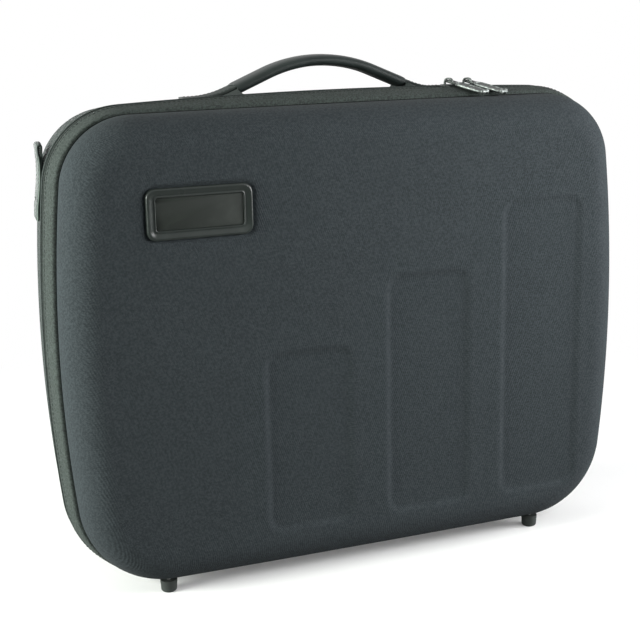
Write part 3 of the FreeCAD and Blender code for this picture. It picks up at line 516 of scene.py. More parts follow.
class Palette:
    """The finishes of the case, each built once."""

    shell = Cloth("shell_cloth", "shell_fabric", (0.036, 0.043, 0.047))
    band = Cloth("band_cloth", "band_fabric", (0.052, 0.062, 0.058), speckle=0.4, pitch=0.7 * MM)
    rear = Cloth("rear_cloth", "shell_fabric", (0.04, 0.048, 0.046))
    # Piping: a real welt, coloured near-black with no reflection as painted shade of the seam groove; the
    # grip's underseam uses it too
    piping = Moulded("piping_with_painted_groove_shade", "piping", (0.003, 0.004, 0.004), roughness=0.8, shine=0.0)
    tape = Cloth("zip_tape_cloth", "zip_tape", (0.034, 0.041, 0.038), pitch=0.6 * MM)
    teeth = Moulded("zip_teeth_nylon", "zip_tape", (0.034, 0.04, 0.038))
    thread = Cloth("thread", "zip_tape", (0.03, 0.034, 0.034), pitch=0.3 * MM, depth=0.03 * MM)
    gunmetal = Metal("gunmetal", "zip_metal", (0.045, 0.05, 0.048), roughness=0.45)
    pull_face = Metal("pull_face_worn", "zip_metal", (0.016, 0.018, 0.017), roughness=0.4)
    nickel = Metal("nickel_worn", "zip_metal", (0.11, 0.12, 0.116), roughness=0.5)
    bezel = Moulded("bezel_gloss", "badge_gloss", (0.018, 0.023, 0.021), roughness=0.3, coat=0.15)
    plate = Moulded("plate_matte", "badge_grey", (0.026, 0.03, 0.027), roughness=0.6, shine=0.08)
    foot = Moulded("foot_rubber_black", "foot_rubber", (0.038, 0.044, 0.041), roughness=0.6)
    grip = Moulded("grip_rubber_smooth", "grip_rubber", (0.017, 0.022, 0.021), roughness=0.42, shine=0.14)
    strap = Moulded("strap_hide", "webbing", (0.03, 0.036, 0.034), roughness=0.6, shine=0.08, depth=0.06 * MM)
    # Loop hide: its own dark colour, lightened as a painted reflection of light grazing its outer face
    loop = Moulded("loop_hide_with_painted_reflection", "loop_hide", (0.06, 0.072, 0.067), roughness=0.65, shine=0.04)
    # Pale edge beads: a painted highlight of light catching the loop's edges
    edge = Moulded("loop_edge_painted_highlight", "loop_hide", (0.15, 0.185, 0.165), roughness=0.6, shine=0.05)
    lining = Cloth("lining_cloth", "lining", (0.03, 0.03, 0.032), speckle=0.25, sheen=0.5)
    foam = Cloth("foam_cloth", "foam", (0.045, 0.045, 0.048), speckle=0.2, sheen=0.5, grain=900.0)
    pocket = Cloth("pocket_cloth_plain", "pocket_cloth", (0.02, 0.02, 0.022), pitch=1.2 * MM)
    binding = Cloth("binding_elastic", "binding", (0.012, 0.012, 0.013), depth=0.3 * MM)
    webbing = Cloth("webbing_woven", "webbing", (0.012, 0.013, 0.013), pitch=1.8 * MM, depth=0.4 * MM)
    patch = Cloth("hook_patch", "patch", (0.01, 0.01, 0.01), depth=0.5 * MM)
    steel = Metal("plated_steel", "steel", (0.5, 0.5, 0.5), roughness=0.35)
    stiffener = Moulded("stiffener_plastic", "stiffener", (0.02, 0.02, 0.02), roughness=0.5)

    _made: dict[str, bpy.types.Material] = {}

    @classmethod
    def material(cls, finish: Finish) -> bpy.types.Material:
        """The material of a finish, built at its first use.

        Args:
            finish: The finish.

        Returns:
            The material.
        """
        if finish.name not in cls._made:
            cls._made[finish.name] = finish.make()
        return cls._made[finish.name]


# Outlines


@dataclass(frozen=True)
class Outline:
    """Rounded rectangle of eight tangent arcs, upright about the case's middle.

    Attributes:
        half_width: Half of its width.
        top: Height of its top over the middle.
        bottom: Depth of its bottom under the middle.
        bows: How far the sides, the top and the bottom bow out.
        corners: Radii of the top and the bottom corners.
    """

    half_width: float
    top: float
    bottom: float
    bows: tuple[float, float, float]
    corners: Pair

    def arcs(self) -> list[tuple[float, float, float, float, float]]:
        """The eight arcs, anticlockwise from the right side.

        Returns:
            Centre across, centre up, radius, start angle and end angle of each.
        """
        side_bow, top_bow, bottom_bow = self.bows
        reach = (self.top + self.bottom) / 2
        side = (reach**2 + side_bow**2) / (2 * side_bow)
        over = (self.half_width**2 + top_bow**2) / (2 * top_bow)
        under = (self.half_width**2 + bottom_bow**2) / (2 * bottom_bow)
        sides = [
            (self.half_width - side, 0.0, side),
            (0.0, self.top - over, over),
            (side - self.half_width, 0.0, side),
            (0.0, under - self.bottom, under),
        ]
        radii = [self.corners[0], self.corners[0], self.corners[1], self.corners[1]]
        spots = [
            self._corner(sides[k], sides[(k + 1) % 4], radii[k], (1, 1, -1, -1)[k], (1, -1, -1, 1)[k])
            for k in range(4)
        ]
        found = []
        for k in range(4):
            (cx, cz, radius), (nx, nz, _) = sides[k], sides[(k + 1) % 4]
            before, after = spots[k - 1], spots[k]
            start = math.atan2(before[1] - cz, before[0] - cx)
            stop = math.atan2(after[1] - cz, after[0] - cx)
            enter = math.atan2(after[1] - nz, after[0] - nx)
            found.append((cx, cz, radius, start, self._onward(start, stop)))
            found.append((*after, radii[k], stop, self._onward(stop, enter)))
        return found

    @staticmethod
    def _onward(start: float, stop: float) -> float:
        """The stop angle, turned on until it lies after the start."""
        return stop + 2 * math.pi * max(math.ceil((start - stop) / (2 * math.pi)), 0)

    @staticmethod
    def _corner(
        first: tuple[float, ...], second: tuple[float, ...], radius: float, up: int, right: int
    ) -> Pair:
        """Centre of a corner arc that touches two side arcs from inside.

        Args:
            first: Centre and radius of one side arc.
            second: Centre and radius of the next one.
            radius: The corner's radius.
            up: 1 for an upper corner and -1 for a lower one.
            right: 1 for a right corner and -1 for a left one.

        Returns:
            The centre.
        """
        reach, swing = first[2] - radius, second[2] - radius
        gap = math.hypot(second[0] - first[0], second[1] - first[1])
        along = (reach**2 - swing**2 + gap**2) / (2 * gap)
        off = math.sqrt(max(reach**2 - along**2, 0.0))
        ux, uz = (second[0] - first[0]) / gap, (second[1] - first[1]) / gap
        x, z = first[0] + ux * along, first[1] + uz * along
        spots = [(x - uz * off * way, z + ux * off * way) for way in (1, -1)]
        return max(spots, key=lambda spot: spot[0] * right + spot[1] * up)

    def spots(self, across: int, up: int) -> list[tuple[int, float]]:
        """Spots round the outline, spread evenly over each of its four quarters.

        Args:
            across: Cells along the top and along the bottom.
            up: Cells along each side.

        Returns:
            Arc number and share of it, anticlockwise from the middle of the lower right corner.
        """
        arcs = self.arcs()
        found: list[tuple[int, float]] = []
        for side, cells in ((0, up), (2, across), (4, up), (6, across)):
            runs = [((side - 1) % 8, 0.5, 1.0), (side, 0.0, 1.0), ((side + 1) % 8, 0.0, 0.5)]
            lengths = [arcs[n][2] * (arcs[n][4] - arcs[n][3]) * (b - a) for n, a, b in runs]
            ends = np.cumsum(lengths)
            for cell in range(cells):
                at = ends[-1] * cell / cells
                k = int(np.searchsorted(ends, at, side="right"))
                number, low, high = runs[k]
                start = ends[k] - lengths[k]
                found.append((number, low + (high - low) * (at - start) / lengths[k]))
        return found

    def points(self, spots: Sequence[tuple[int, float]], growth: float) -> Points:
        """The outline's points at some spots, offset outwards.

        Args:
            spots: Arc numbers and shares.
            growth: The offset.

        Returns:
            Rows of X and Z in metres.
        """
        arcs = self.arcs()
        rows = []
        for number, share in spots:
            cx, cz, radius, start, stop = arcs[number]
            angle = start + (stop - start) * share
            rows.append((cx + (radius + growth) * math.cos(angle), cz + (radius + growth) * math.sin(angle)))
        found = np.array(rows) * MM
        found[:, 1] += CENTRE_Z
        return found

    def height(self, across: float) -> float:
        """Height of the top side over the floor, in metres.

        Args:
            across: Place along X in metres.

        Returns:
            The height.
        """
        radius = (self.half_width**2 + self.bows[1] ** 2) / (2 * self.bows[1]) * MM
        return CENTRE_Z + self.top * MM - radius + math.sqrt(radius**2 - across**2)


SEAM_LINE = Outline(210.0, 164.0, 164.0, (13.6, 1.0, 1.0), (51.0, 64.0))
RIDGE_LINE = Outline(214.3, 169.9, 165.0, (13.6, 6.5, 2.0), (55.7, 64.0))


def ring(plan: Points, y: float) -> Points:
    """Rows of X and Z, set at one Y."""
    return np.insert(plan, 1, y, axis=1)


def tier(plan: Points, z: float) -> Points:
    """Rows of X and Y, set at one Z."""
    return np.insert(plan, 2, z, axis=1)


def slice_at(x: float, plan: Points) -> Points:
    """Rows of Y and Z, set at one X."""
    return np.insert(plan, 0, x, axis=1)


def circle(count: int) -> np.ndarray:
    """Angles of a whole turn in equal steps, without its end."""
    return np.linspace(0, 2 * math.pi, count + 1)[:-1]


def quarter(steps: int) -> np.ndarray:
    """Angles from 0 to a right angle in equal steps."""
    return np.linspace(0, math.pi / 2, steps + 1)


def hoop(hub: Points, radius: float, first: Points, second: Points, count: int) -> Points:
    """Points of a circle.

    Args:
        hub: Its middle.
        radius: Its radius.
        first: Direction of its first point.
        second: Direction of the point a quarter on.
        count: How many points.

    Returns:
        Rows of X, Y and Z.
    """
    turn = circle(count)[:, None]
    return hub + radius * (np.cos(turn) * first + np.sin(turn) * second)


def travel(path: Points) -> np.ndarray:
    """Length along a path up to each of its points."""
    return np.concatenate([[0.0], np.cumsum(np.linalg.norm(np.diff(path, axis=0), axis=1))])


def sampled(rows: Points, run: np.ndarray, at: np.ndarray | float) -> Points:
    """Rows between the given ones, at some lengths along their path."""
    return np.stack([np.interp(at, run, column) for column in rows.T], axis=-1)


def round_box(
    left: float,
    right: float,
    low: float,
    high: float,
    corner: float,
    steps: int = 6,
    cells: int = 1,
    inset: float = 0.0,
) -> Points:
    """A rounded rectangle, anticlockwise from the lower right corner.

    Args:
        left: Lowest first coordinate.
        right: Highest first coordinate.
        low: Lowest second coordinate.
        high: Highest second coordinate.
        corner: Corner radius.
        steps: Steps in each corner.
        cells: Cells along each straight side.
        inset: What all four sides are drawn in by.

    Returns:
        Rows of the two coordinates.
    """
    near, far = (left + inset + corner, low + inset + corner), (right - inset - corner, high - inset - corner)
    hubs = [(far[0], near[1], -90), (far[0], far[1], 0), (near[0], far[1], 90), (near[0], near[1], 180)]
    rows: list[Pair] = []
    for x, z, start in hubs:
        if rows and cells > 1:
            angle = math.radians(start)
            rows += between(rows[-1], (x + corner * math.cos(angle), z + corner * math.sin(angle)), cells)
        for step in range(steps + 1):
            angle = math.radians(start + 90 * step / steps)
            rows.append((x + corner * math.cos(angle), z + corner * math.sin(angle)))
    if cells > 1:
        rows += between(rows[-1], rows[0], cells)
    return np.array(rows)


def between(first: Pair, last: Pair, cells: int) -> list[Pair]:
    """The inner points of a straight line in equal cells."""
    return [tuple(row) for row in np.linspace(first, last, cells + 1)[1:-1]]


def bar(half: float, thick: float, corner: float, steps: int = 4, cells: int = 1) -> Points:
    """A section to sweep, in metres, from half of its width and height."""
    return round_box(-half, half, -thick, thick, corner, steps, cells) * MM


def smooth(values: np.ndarray | float, low: float, high: float) -> np.ndarray:
    """Smooth step from 0 at low to 1 at high.

    Args:
        values: What is stepped.
        low: Where the step starts.
        high: Where it ends.

    Returns:
        The step.
    """
    share = np.clip((np.asarray(values) - low) / (high - low), 0.0, 1.0)
    return share * share * (3 - 2 * share)


def box_distance(
    x: np.ndarray, z: np.ndarray, box: Box, corner: float
) -> np.ndarray:
    """Distance outside a rounded rectangle, negative inside.

    Args:
        x: First coordinates.
        z: Second coordinates.
        box: Left, right, low and high.
        corner: Corner radius.

    Returns:
        The distances.
    """
    left, right, low, high = box
    dx = np.abs(x - (left + right) / 2) - (right - left) / 2 + corner
    dz = np.abs(z - (low + high) / 2) - (high - low) / 2 + corner
    outside = np.hypot(np.maximum(dx, 0), np.maximum(dz, 0))
    return outside + np.minimum(np.maximum(dx, dz), 0) - corner


# Forms


class Form:
    """Vertices and faces of a piece while it is put together."""

    def __init__(self) -> None:
        """Starts empty."""
        self.points: list[Points] = []
        self.faces: list[tuple[int, ...]] = []
        self.count = 0

    def _add(self, rows: Points) -> int:
        """Adds points.

        Args:
            rows: The points.

        Returns:
            The number of the first.
        """
        first = self.count
        self.points.append(np.asarray(rows, float))
        self.count += len(rows)
        return first

    def tube(
        self, rings: Sequence[Points], closed: bool = True, looped: bool = False, caps: bool = False
    ) -> Form:
        """Joins rings of equally many points with quads.

        Args:
            rings: The rings.
            closed: Whether each ring closes on itself.
            looped: Whether the last ring joins the first.
            caps: Whether the first and last rings are filled.

        Returns:
            This form.
        """
        size = len(rings[0])
        first = self._add(np.vstack(rings))
        pairs = len(rings) if looped else len(rings) - 1
        for number in range(pairs):
            here, there = first + number * size, first + (number + 1) % len(rings) * size
            for cell in range(size if closed else size - 1):
                after = (cell + 1) % size
                self.faces.append((here + cell, here + after, there + after, there + cell))
        if caps:
            self.faces.append(tuple(range(first, first + size)))
            last = first + (len(rings) - 1) * size
            self.faces.append(tuple(range(last, last + size)))
        return self

    def grid(self, rows: Points) -> Form:
        """Adds a patch.

        Args:
            rows: Points in an array of rows and columns.

        Returns:
            This form.
        """
        high, wide, _ = rows.shape
        first = self._add(rows.reshape(-1, 3))
        for row in range(high - 1):
            for column in range(wide - 1):
                corner = first + row * wide + column
                self.faces.append((corner, corner + 1, corner + wide + 1, corner + wide))
        return self

    def disc(self, plan: Points, across: int, up: int, lift: Callable[[Points], Points]) -> Form:
        """Fills a ring from Outline.spots with a grid that follows its four quarters.

        Args:
            plan: The ring as rows of X and Z.
            across: Cells along its top and bottom.
            up: Cells along its sides.
            lift: Turns rows of X and Z into points.

        Returns:
            This form.
        """
        closed = np.vstack([plan, plan[:1]])
        right = closed[: up + 1]
        top = closed[up : up + across + 1][::-1]
        left = closed[up + across : 2 * up + across + 1][::-1]
        bottom = closed[2 * up + across : 2 * up + 2 * across + 1]
        u = np.linspace(0, 1, across + 1)[None, :, None]
        v = np.linspace(0, 1, up + 1)[:, None, None]
        across_part = left[:, None, :] * (1 - u) + right[:, None, :] * u
        up_part = bottom[None, :, :] * (1 - v) + top[None, :, :] * v
        corners = (
            bottom[0] * (1 - u) * (1 - v) + bottom[-1] * u * (1 - v) + top[0] * (1 - u) * v + top[-1] * u * v
        )
        flat = (across_part + up_part - corners).reshape(-1, 2)
        return self.grid(lift(flat).reshape(up + 1, across + 1, 3))

    def sweep(self, path: Points, section: Points | Callable[[float], Points], side: Points) -> Form:
        """Sweeps a section along a path and fills its ends.

        Args:
            path: Points of the path.
            section: Rows of (sideways, upward), or what gives them for a share of the path.
            side: The sideways direction, square to the path everywhere.

        Returns:
            This form.
        """
        tangents = np.gradient(path, axis=0)
        tangents /= np.linalg.norm(tangents, axis=1)[:, None]
        rings = []
        for number, (point, tangent) in enumerate(zip(path, tangents)):
            rows = section(number / (len(path) - 1)) if callable(section) else section
            rings.append(point + rows[:, :1] * side + rows[:, 1:] * np.cross(tangent, side))
        return self.tube(rings, caps=True)

    def outlined(
        self, line: Outline, profile: Sequence[Pair], cells: tuple[int, int], filled: Sequence[int]
    ) -> Form:
        """Adds rings that follow an outline.

        Args:
            line: The outline.
            profile: Growth and Y of each ring.
            cells: Cells across and up.
            filled: Numbers of the rings that are filled.

        Returns:
            This form.
        """
        spots = line.spots(*cells)
        self.tube([ring(line.points(spots, growth), y * MM) for growth, y in profile])
        for number in filled:
            growth, y = profile[number]
            self.disc(line.points(spots, growth), *cells, lambda rows, y=y: ring(rows, y * MM))
        return self

    def joined(self, other: Form) -> Form:
        """Adds another form.

        Args:
            other: The other form.

        Returns:
            This form.
        """
        first = self._add(np.vstack(other.points))
        self.faces += [tuple(first + corner for corner in face) for face in other.faces]
        return self

    def moved(self, change: Callable[[Points], Points]) -> Form:
        """Changes all the points so far.

        Args:
            change: Takes and gives rows of points.

        Returns:
            This form.
        """
        self.points = [change(np.vstack(self.points))]
        return self

    def placed(self, matrix: Matrix) -> Form:
        """Moves all the points so far by a placement."""
        change = np.array(matrix)
        return self.moved(lambda rows: rows @ change[:3, :3].T + change[:3, 3])

    def slab(self, plan: Callable[[float], Points], steps: Sequence[Pair]) -> Form:
        """Adds a flat form: its plan at the inset and the height of each of some steps."""
        return self.tube([tier(plan(inset), z) for inset, z in steps], caps=True)

    def make(
        self, name: str, finish: Finish, body: Body | None, sharp: float = 40.0, thickness: float = 0.0
    ) -> Piece:
        """Makes the piece's object.

        Args:
            name: The piece's name.
            finish: Its finish.
            body: The CAD body it rides on, if it rides on one.
            sharp: Edges that turn by more degrees than this look sharp.
            thickness: What an open surface is thickened by, in metres.

        Returns:
            The object.
        """
        mesh = bpy.data.meshes.new(name)
        mesh.from_pydata(np.vstack(self.points).tolist(), [], self.faces)
        work = bmesh.new()
        work.from_mesh(mesh)
        bmesh.ops.remove_doubles(work, verts=work.verts, dist=1e-6)
        bmesh.ops.recalc_face_normals(work, faces=work.faces)
        if thickness:
            bmesh.ops.solidify(work, geom=work.faces[:], thickness=thickness)
        work.to_mesh(mesh)
        work.free()
        mesh.shade_smooth()
        mesh.set_sharp_from_angle(angle=math.radians(sharp))
        mesh.materials.append(Palette.material(finish))
        piece = bpy.data.objects.new(name, mesh)
        bpy.context.scene.collection.objects.link(piece)
        if body:
            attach(piece, body.value)
        LOG.info("%s: %d faces", name, len(mesh.polygons))
        return piece


@dataclass
class Part:
    """What stands for one CAD node.

    Attributes:
        name: What the names of its pieces start with.
        node: The CAD node.
        body: The body it rides on.
    """

    name: str
    node: str
    body: Body


@dataclass(frozen=True)
class Stitch:
    """A kind of stitch.

    Attributes:
        length: Length of a stitch.
        pitch: Distance between stitches.
        radius: Thread radius.
        shape: Share of the length, fatness and lift of each ring, the last two as shares of the radius.
    """

    length: float
    pitch: float
    radius: float
    shape: tuple[tuple[float, float, float], ...] = (
        (-0.5, 0.05, -0.6),
        (-0.42, 0.7, 0.1),
        (0.0, 1.0, 0.35),
        (0.42, 0.7, 0.1),
        (0.5, 0.05, -0.6),
    )

    def sew(self, form: Form, path: Points, normals: Points) -> Form:
        """Adds a row of stitches.

        Args:
            form: The form they are added to.
            path: Points of the seam line in metres, close together.
            normals: Outward directions at those points.

        Returns:
            The form.
        """
        run, radius = travel(path), self.radius * MM
        for number in range(int(run[-1] / (self.pitch * MM))):
            at = (number + 0.5) * self.pitch * MM
            start, stop = (sampled(path, run, at + way * self.length * MM / 2) for way in (-1, 1))
            normal = sampled(normals, run, at)
            normal /= np.linalg.norm(normal)
            along = stop - start
            across = np.cross(normal, along)
            across /= np.linalg.norm(across)
            middle = (start + stop) / 2
            form.tube(
                [
                    hoop(middle + along * share + normal * radius * lift, radius * fat, across, normal, 4)
                    for share, fat, lift in self.shape
                ]
            )
        return form


# Front shell


@dataclass
class FrontShell:
    """Moulded front with its relief, and the piping in its seam.

    Attributes:
        cells: Cells across and up the face.
        inset: How far the shell lies inside the seam line.
        rounding: Radius of its front edge.
        chamfer: Chamfer inside that edge.
        wall: Wall thickness.
        lip_ease: Chamfer of the lip's inner edge.
        lip_rows: Growth and place of the points round the lip's outer edge.
        panels: Left, right, low and high of each sunk panel.
        panel_corner: Radius of the panels' corners.
        panel_depth: Depth of the panels.
        panel_slope: Start and end of the panels' sides, outwards from their edge.
        groove_depth: Depth of the groove round the badge.
        groove_slope: Start and end of the groove's side, outwards from its edge.
        relief_fade: Distances behind the face between which the relief ends.
        pipe_cells: Cells of the piping across and up.
        pipe_growth: Growth of the piping's middle from the seam line.
        pipe_radii: Radii of the piping outwards and along Y.
    """

    cells: tuple[int, int] = (260, 205)
    inset: float = 1.8
    rounding: float = 24.4
    chamfer: float = 15.0
    wall: float = 3.5
    lip_ease: float = 0.5
    lip_rows: tuple[Pair, ...] = ((-0.7, 0.0), (-0.2, -0.2), (0.0, -0.8))
    panels: tuple[Box, ...] = (
        (106.0, 172.0, 38.0, 262.0),
        (15.0, 81.0, 38.0, 216.0),
        (-76.0, -10.0, 38.0, 170.0),
    )
    panel_corner: float = 12.0
    panel_depth: float = 1.8
    panel_slope: Pair = (-5.0, 1.0)
    groove_depth: float = 1.7
    groove_slope: Pair = (0.1, 2.6)
    relief_fade: Pair = (3.0, 8.0)
    pipe_cells: tuple[int, int] = (90, 72)
    pipe_growth: float = -2.7
    pipe_radii: Pair = (1.1, 1.0)

    def pressed(self, points: Points) -> Points:
        """Points with the relief pressed into them.

        Args:
            points: Rows of points on the front, in metres.

        Returns:
            The new rows.
        """
        found = points.copy()
        x, y, z = found.T / MM
        groove = box_distance(x, z, BADGE_BOX, BADGE_CORNER)
        depth = self.groove_depth * (1 - smooth(groove, *self.groove_slope))
        for panel in self.panels:
            distance = box_distance(x, z, panel, self.panel_corner)
            depth += self.panel_depth * (1 - smooth(distance, *self.panel_slope))
        found[:, 1] += depth * (1 - smooth(y - Stations.front / MM, *self.relief_fade)) * MM
        return found

    def build(self) -> Piece:
        """Builds the shell.

        Returns:
            The piece.
        """
        lip, front = Stations.lip, Stations.front
        floor, deep = front + self.wall * MM, -self.inset - self.wall
        profile = [(deep - self.chamfer, floor), (deep, floor + self.chamfer * MM)]
        profile += [(deep, lip - self.lip_ease * MM), (deep + self.lip_ease, lip)]
        profile += [(out - self.inset, lip + along * MM) for out, along in self.lip_rows]
        plain = len(profile)
        for angle in quarter(14):
            growth = -self.inset - self.rounding * (1 - math.cos(angle))
            profile.append((growth, front + self.rounding * (1 - math.sin(angle)) * MM))
        spots = SEAM_LINE.spots(*self.cells)
        rings = [ring(SEAM_LINE.points(spots, growth), y) for growth, y in profile]
        form = Form().tube([*rings[:plain], *(self.pressed(row) for row in rings[plain:])])
        face, inner = (SEAM_LINE.points(spots, profile[end][0]) for end in (-1, 0))
        form.disc(face, *self.cells, lambda rows: self.pressed(ring(rows, front)))
        form.disc(inner, *self.cells, lambda rows: ring(rows, floor))
        return form.make("front_shell_skin", Palette.shell, Body.LID)

    def pipe(self) -> Piece:
        """Builds the piping, its near-black colour a painted shade of the seam groove.

        Returns:
            The piece.
        """
        spots = SEAM_LINE.spots(*self.pipe_cells)
        out, along = self.pipe_radii
        rings = []
        for angle in circle(10):
            plan = SEAM_LINE.points(spots, self.pipe_growth + out * math.cos(angle))
            rings.append(ring(plan, Stations.seam + along * math.sin(angle) * MM))
        # The piping's near-black colour is painted shade of the seam groove
        return Form().tube(rings, looped=True).make("seam_piping", Palette.piping, Body.LID)

    def dress(self) -> None:
        """Builds the pieces in place of their CAD nodes."""
        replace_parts(self.build(), "front_shell")
        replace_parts(self.pipe(), "front_welt")


# Band


@dataclass
class Band:
    """Cloth band from the seam to the ridge that carries the zip.

    Attributes:
        cells: Cells across and up.
        wall: Thickness.
        edge: Radius of its rolled edges.
        swell: Exponent of its swelling towards the ridge.
        seam: Distance of its stitches from the ridge.
        seam_cells: Cells of the stitches' line across and up.
        stitch: Its stitches.
    """

    cells: tuple[int, int] = (120, 96)
    wall: float = 2.6
    edge: float = 1.0
    swell: float = 0.64
    seam: float = 3.4
    seam_cells: tuple[int, int] = (240, 200)
    stitch: Stitch = Stitch(2.3, 3.2, 0.22)

    def section(self, share: float, growth: float, spots: Sequence[tuple[int, float]]) -> Points:
        """A ring of the band.

        Args:
            share: How far back it lies, from 0 at the seam to 1 at the ridge.
            growth: Offset outwards.
            spots: Spots round the outline.

        Returns:
            The ring.
        """
        swell = share**self.swell
        near, far = SEAM_LINE.points(spots, growth), RIDGE_LINE.points(spots, growth)
        plan = near * (1 - swell) + far * swell
        return ring(plan, Stations.band + (Stations.ridge - Stations.band) * share)

    def build(self) -> Piece:
        """Builds the band.

        Returns:
            The piece.
        """
        spots = RIDGE_LINE.spots(*self.cells)
        edge = self.edge * MM / (Stations.ridge - Stations.band)
        rows = [(edge * (1 - math.cos(a)), -self.edge * (1 - math.sin(a))) for a in quarter(5)]
        rows += [(share, 0.0) for share in np.linspace(edge, 1 - edge, 11)[1:-1]]
        rows += [(1 - edge * (1 - math.sin(a)), -self.edge * (1 - math.cos(a))) for a in quarter(5)]
        rows += [(share, -self.wall) for share in np.linspace(1, 0, 6)]
        form = Form().tube([self.section(*row, spots) for row in rows], looped=True)
        return form.make("band_skin", Palette.band, Body.LID, sharp=60.0)

    def sew(self) -> None:
        """Builds the row of stitches along the band's rear edge."""
        spots, proud = RIDGE_LINE.spots(*self.seam_cells), 0.05
        share = 1 - self.seam * MM / (Stations.ridge - Stations.band)
        path = self.section(share, proud, spots)
        outward = self.section(share, 1.0 + proud, spots) - path
        form = self.stitch.sew(Form(), np.vstack([path, path[:1]]), np.vstack([outward, outward[:1]]))
        form.make("band_stitches", Palette.thread, Body.LID)

    def dress(self) -> None:
        """Builds the pieces in place of their CAD nodes."""
        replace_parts(self.build(), "front_band")
        self.sew()


# Zip


@dataclass
class ZipHalf(Part):
    """One half of the zip: its woven tape and its coil of teeth.

    Attributes:
        fixed: Y of its sewn edge, in metres.
        way: 1 if its teeth lie behind the sewn edge and -1 if before.
        cells: Cells of its line across and up.
        reach: Half of the length of the hinge, which has no zip.
        pitch: Distance between teeth.
        depth: Depth of the coil's middle below the ridge.
        root: Where a tooth starts, from the zip's middle.
        head: Where a tooth ends, from the zip's middle.
        rise: Half of the coil's height.
        slant: How far a tooth drifts along the zip.
        wire: Radius of the coil's wire.
    """

    fixed: float
    way: int
    cells: tuple[int, int] = (460, 380)
    reach: float = 148.0
    pitch: float = 2.0
    depth: float = 2.0
    root: float = -3.0
    head: float = -0.45
    rise: float = 0.75
    slant: float = 0.35
    wire: float = 0.33

    def run(self, growth: float, y: float, step: float) -> tuple[Points, Points]:
        """The zip's line from one end to the other.

        Args:
            growth: Offset outwards from the ridge.
            y: Its Y, in metres.
            step: Distance between points.

        Returns:
            The points, in metres, and their outward directions.
        """
        spots = RIDGE_LINE.spots(*self.cells)
        points = ring(RIDGE_LINE.points(spots, growth), y)
        outward = ring(RIDGE_LINE.points(spots, growth + 1.0), y) - points
        bottom = (np.abs(points[:, 0]) < self.reach * MM) & (points[:, 2] < CENTRE_Z)
        start = int(np.argmax(bottom)) + int(bottom.sum())
        order = np.roll(np.arange(len(points)), -start)
        order = order[~bottom[order]]
        points, outward = points[order], outward[order] / MM
        length = travel(points)
        places = np.arange(0.0, length[-1], step * MM)
        return sampled(points, length, places), sampled(outward, length, places)

    def tape(self) -> Piece:
        """Builds the tape.

        Returns:
            The piece.
        """
        edge, near = Stations.zip - self.way * 1.1 * MM, self.fixed + self.way * 1.5 * MM
        sections = [(-1.0, self.fixed), (-0.85, near), (-1.0, edge), (-1.4, edge)]
        sections += [(-1.9, edge), (-2.0, near), (-2.0, self.fixed)]
        lines = [self.run(growth, y, 6.0)[0] for growth, y in sections]
        shortest = min(len(line) for line in lines)
        form = Form().tube([line[:shortest] for line in lines], closed=False, looped=True)
        return form.make(self.name + "_tape", Palette.tape, self.body)

    def coil(self) -> None:
        """Builds the coil."""
        line, facing = self.run(-self.depth, Stations.zip, self.pitch)
        shift = 0.0 if self.way > 0 else self.pitch / 2
        middle, half = (self.root + self.head) / 2, (self.head - self.root) / 2
        onward = self.way * Y_AXIS
        form = Form()
        for point, outward in zip(line, facing):
            along = np.cross(outward, Y_AXIS)
            along /= np.linalg.norm(along)
            rings = []
            for angle in circle(8):
                sine, cosine = math.sin(angle), math.cos(angle)
                drift = shift + self.slant * math.sin(angle / 2)
                place = outward * (self.rise * sine) + along * drift + onward * (middle + half * cosine)
                facing_out = outward * sine + onward * cosine
                rings.append(hoop(point + place * MM, self.wire * MM, facing_out, along, 4))
            form.tube(rings, looped=True)
        form.make(self.name + "_coil", Palette.teeth, self.body)

    def dress(self) -> None:
        """Builds the pieces in place of the CAD node."""
        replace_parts(self.tape(), self.node)
        self.coil()


@dataclass
class ZipStops(Part):
    """Metal clips over the two ends of one zip half.

    Attributes:
        front: Its front side along Y.
        rear: Its rear side along Y.
        ends: Its ends along X.
        heights: Its lower and upper side.
        edge: Radius of its edges.
        ease: Chamfer of its ends sideways and along X.
    """

    front: float
    rear: float
    ends: Pair = (148.0, 153.0)
    heights: Pair = (7.09, 8.31)
    edge: float = 0.55
    ease: Pair = (0.25, 0.3)

    def dress(self) -> None:
        """Builds the clips in place of their CAD node."""
        form = Form()
        near, far = self.ends
        drawn, ease = self.ease
        for side in (-1, 1):
            rings = []
            for inset, x in ((drawn, near), (0.0, near + ease), (0.0, far - ease), (drawn, far)):
                plan = round_box(self.front, self.rear, *self.heights, self.edge - inset, 4, inset=inset)
                rings.append(slice_at(side * x, plan) * MM)
            form.tube(rings, caps=True)
        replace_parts(form.make(self.name, Palette.gunmetal, self.body), self.node)


# Rear shell


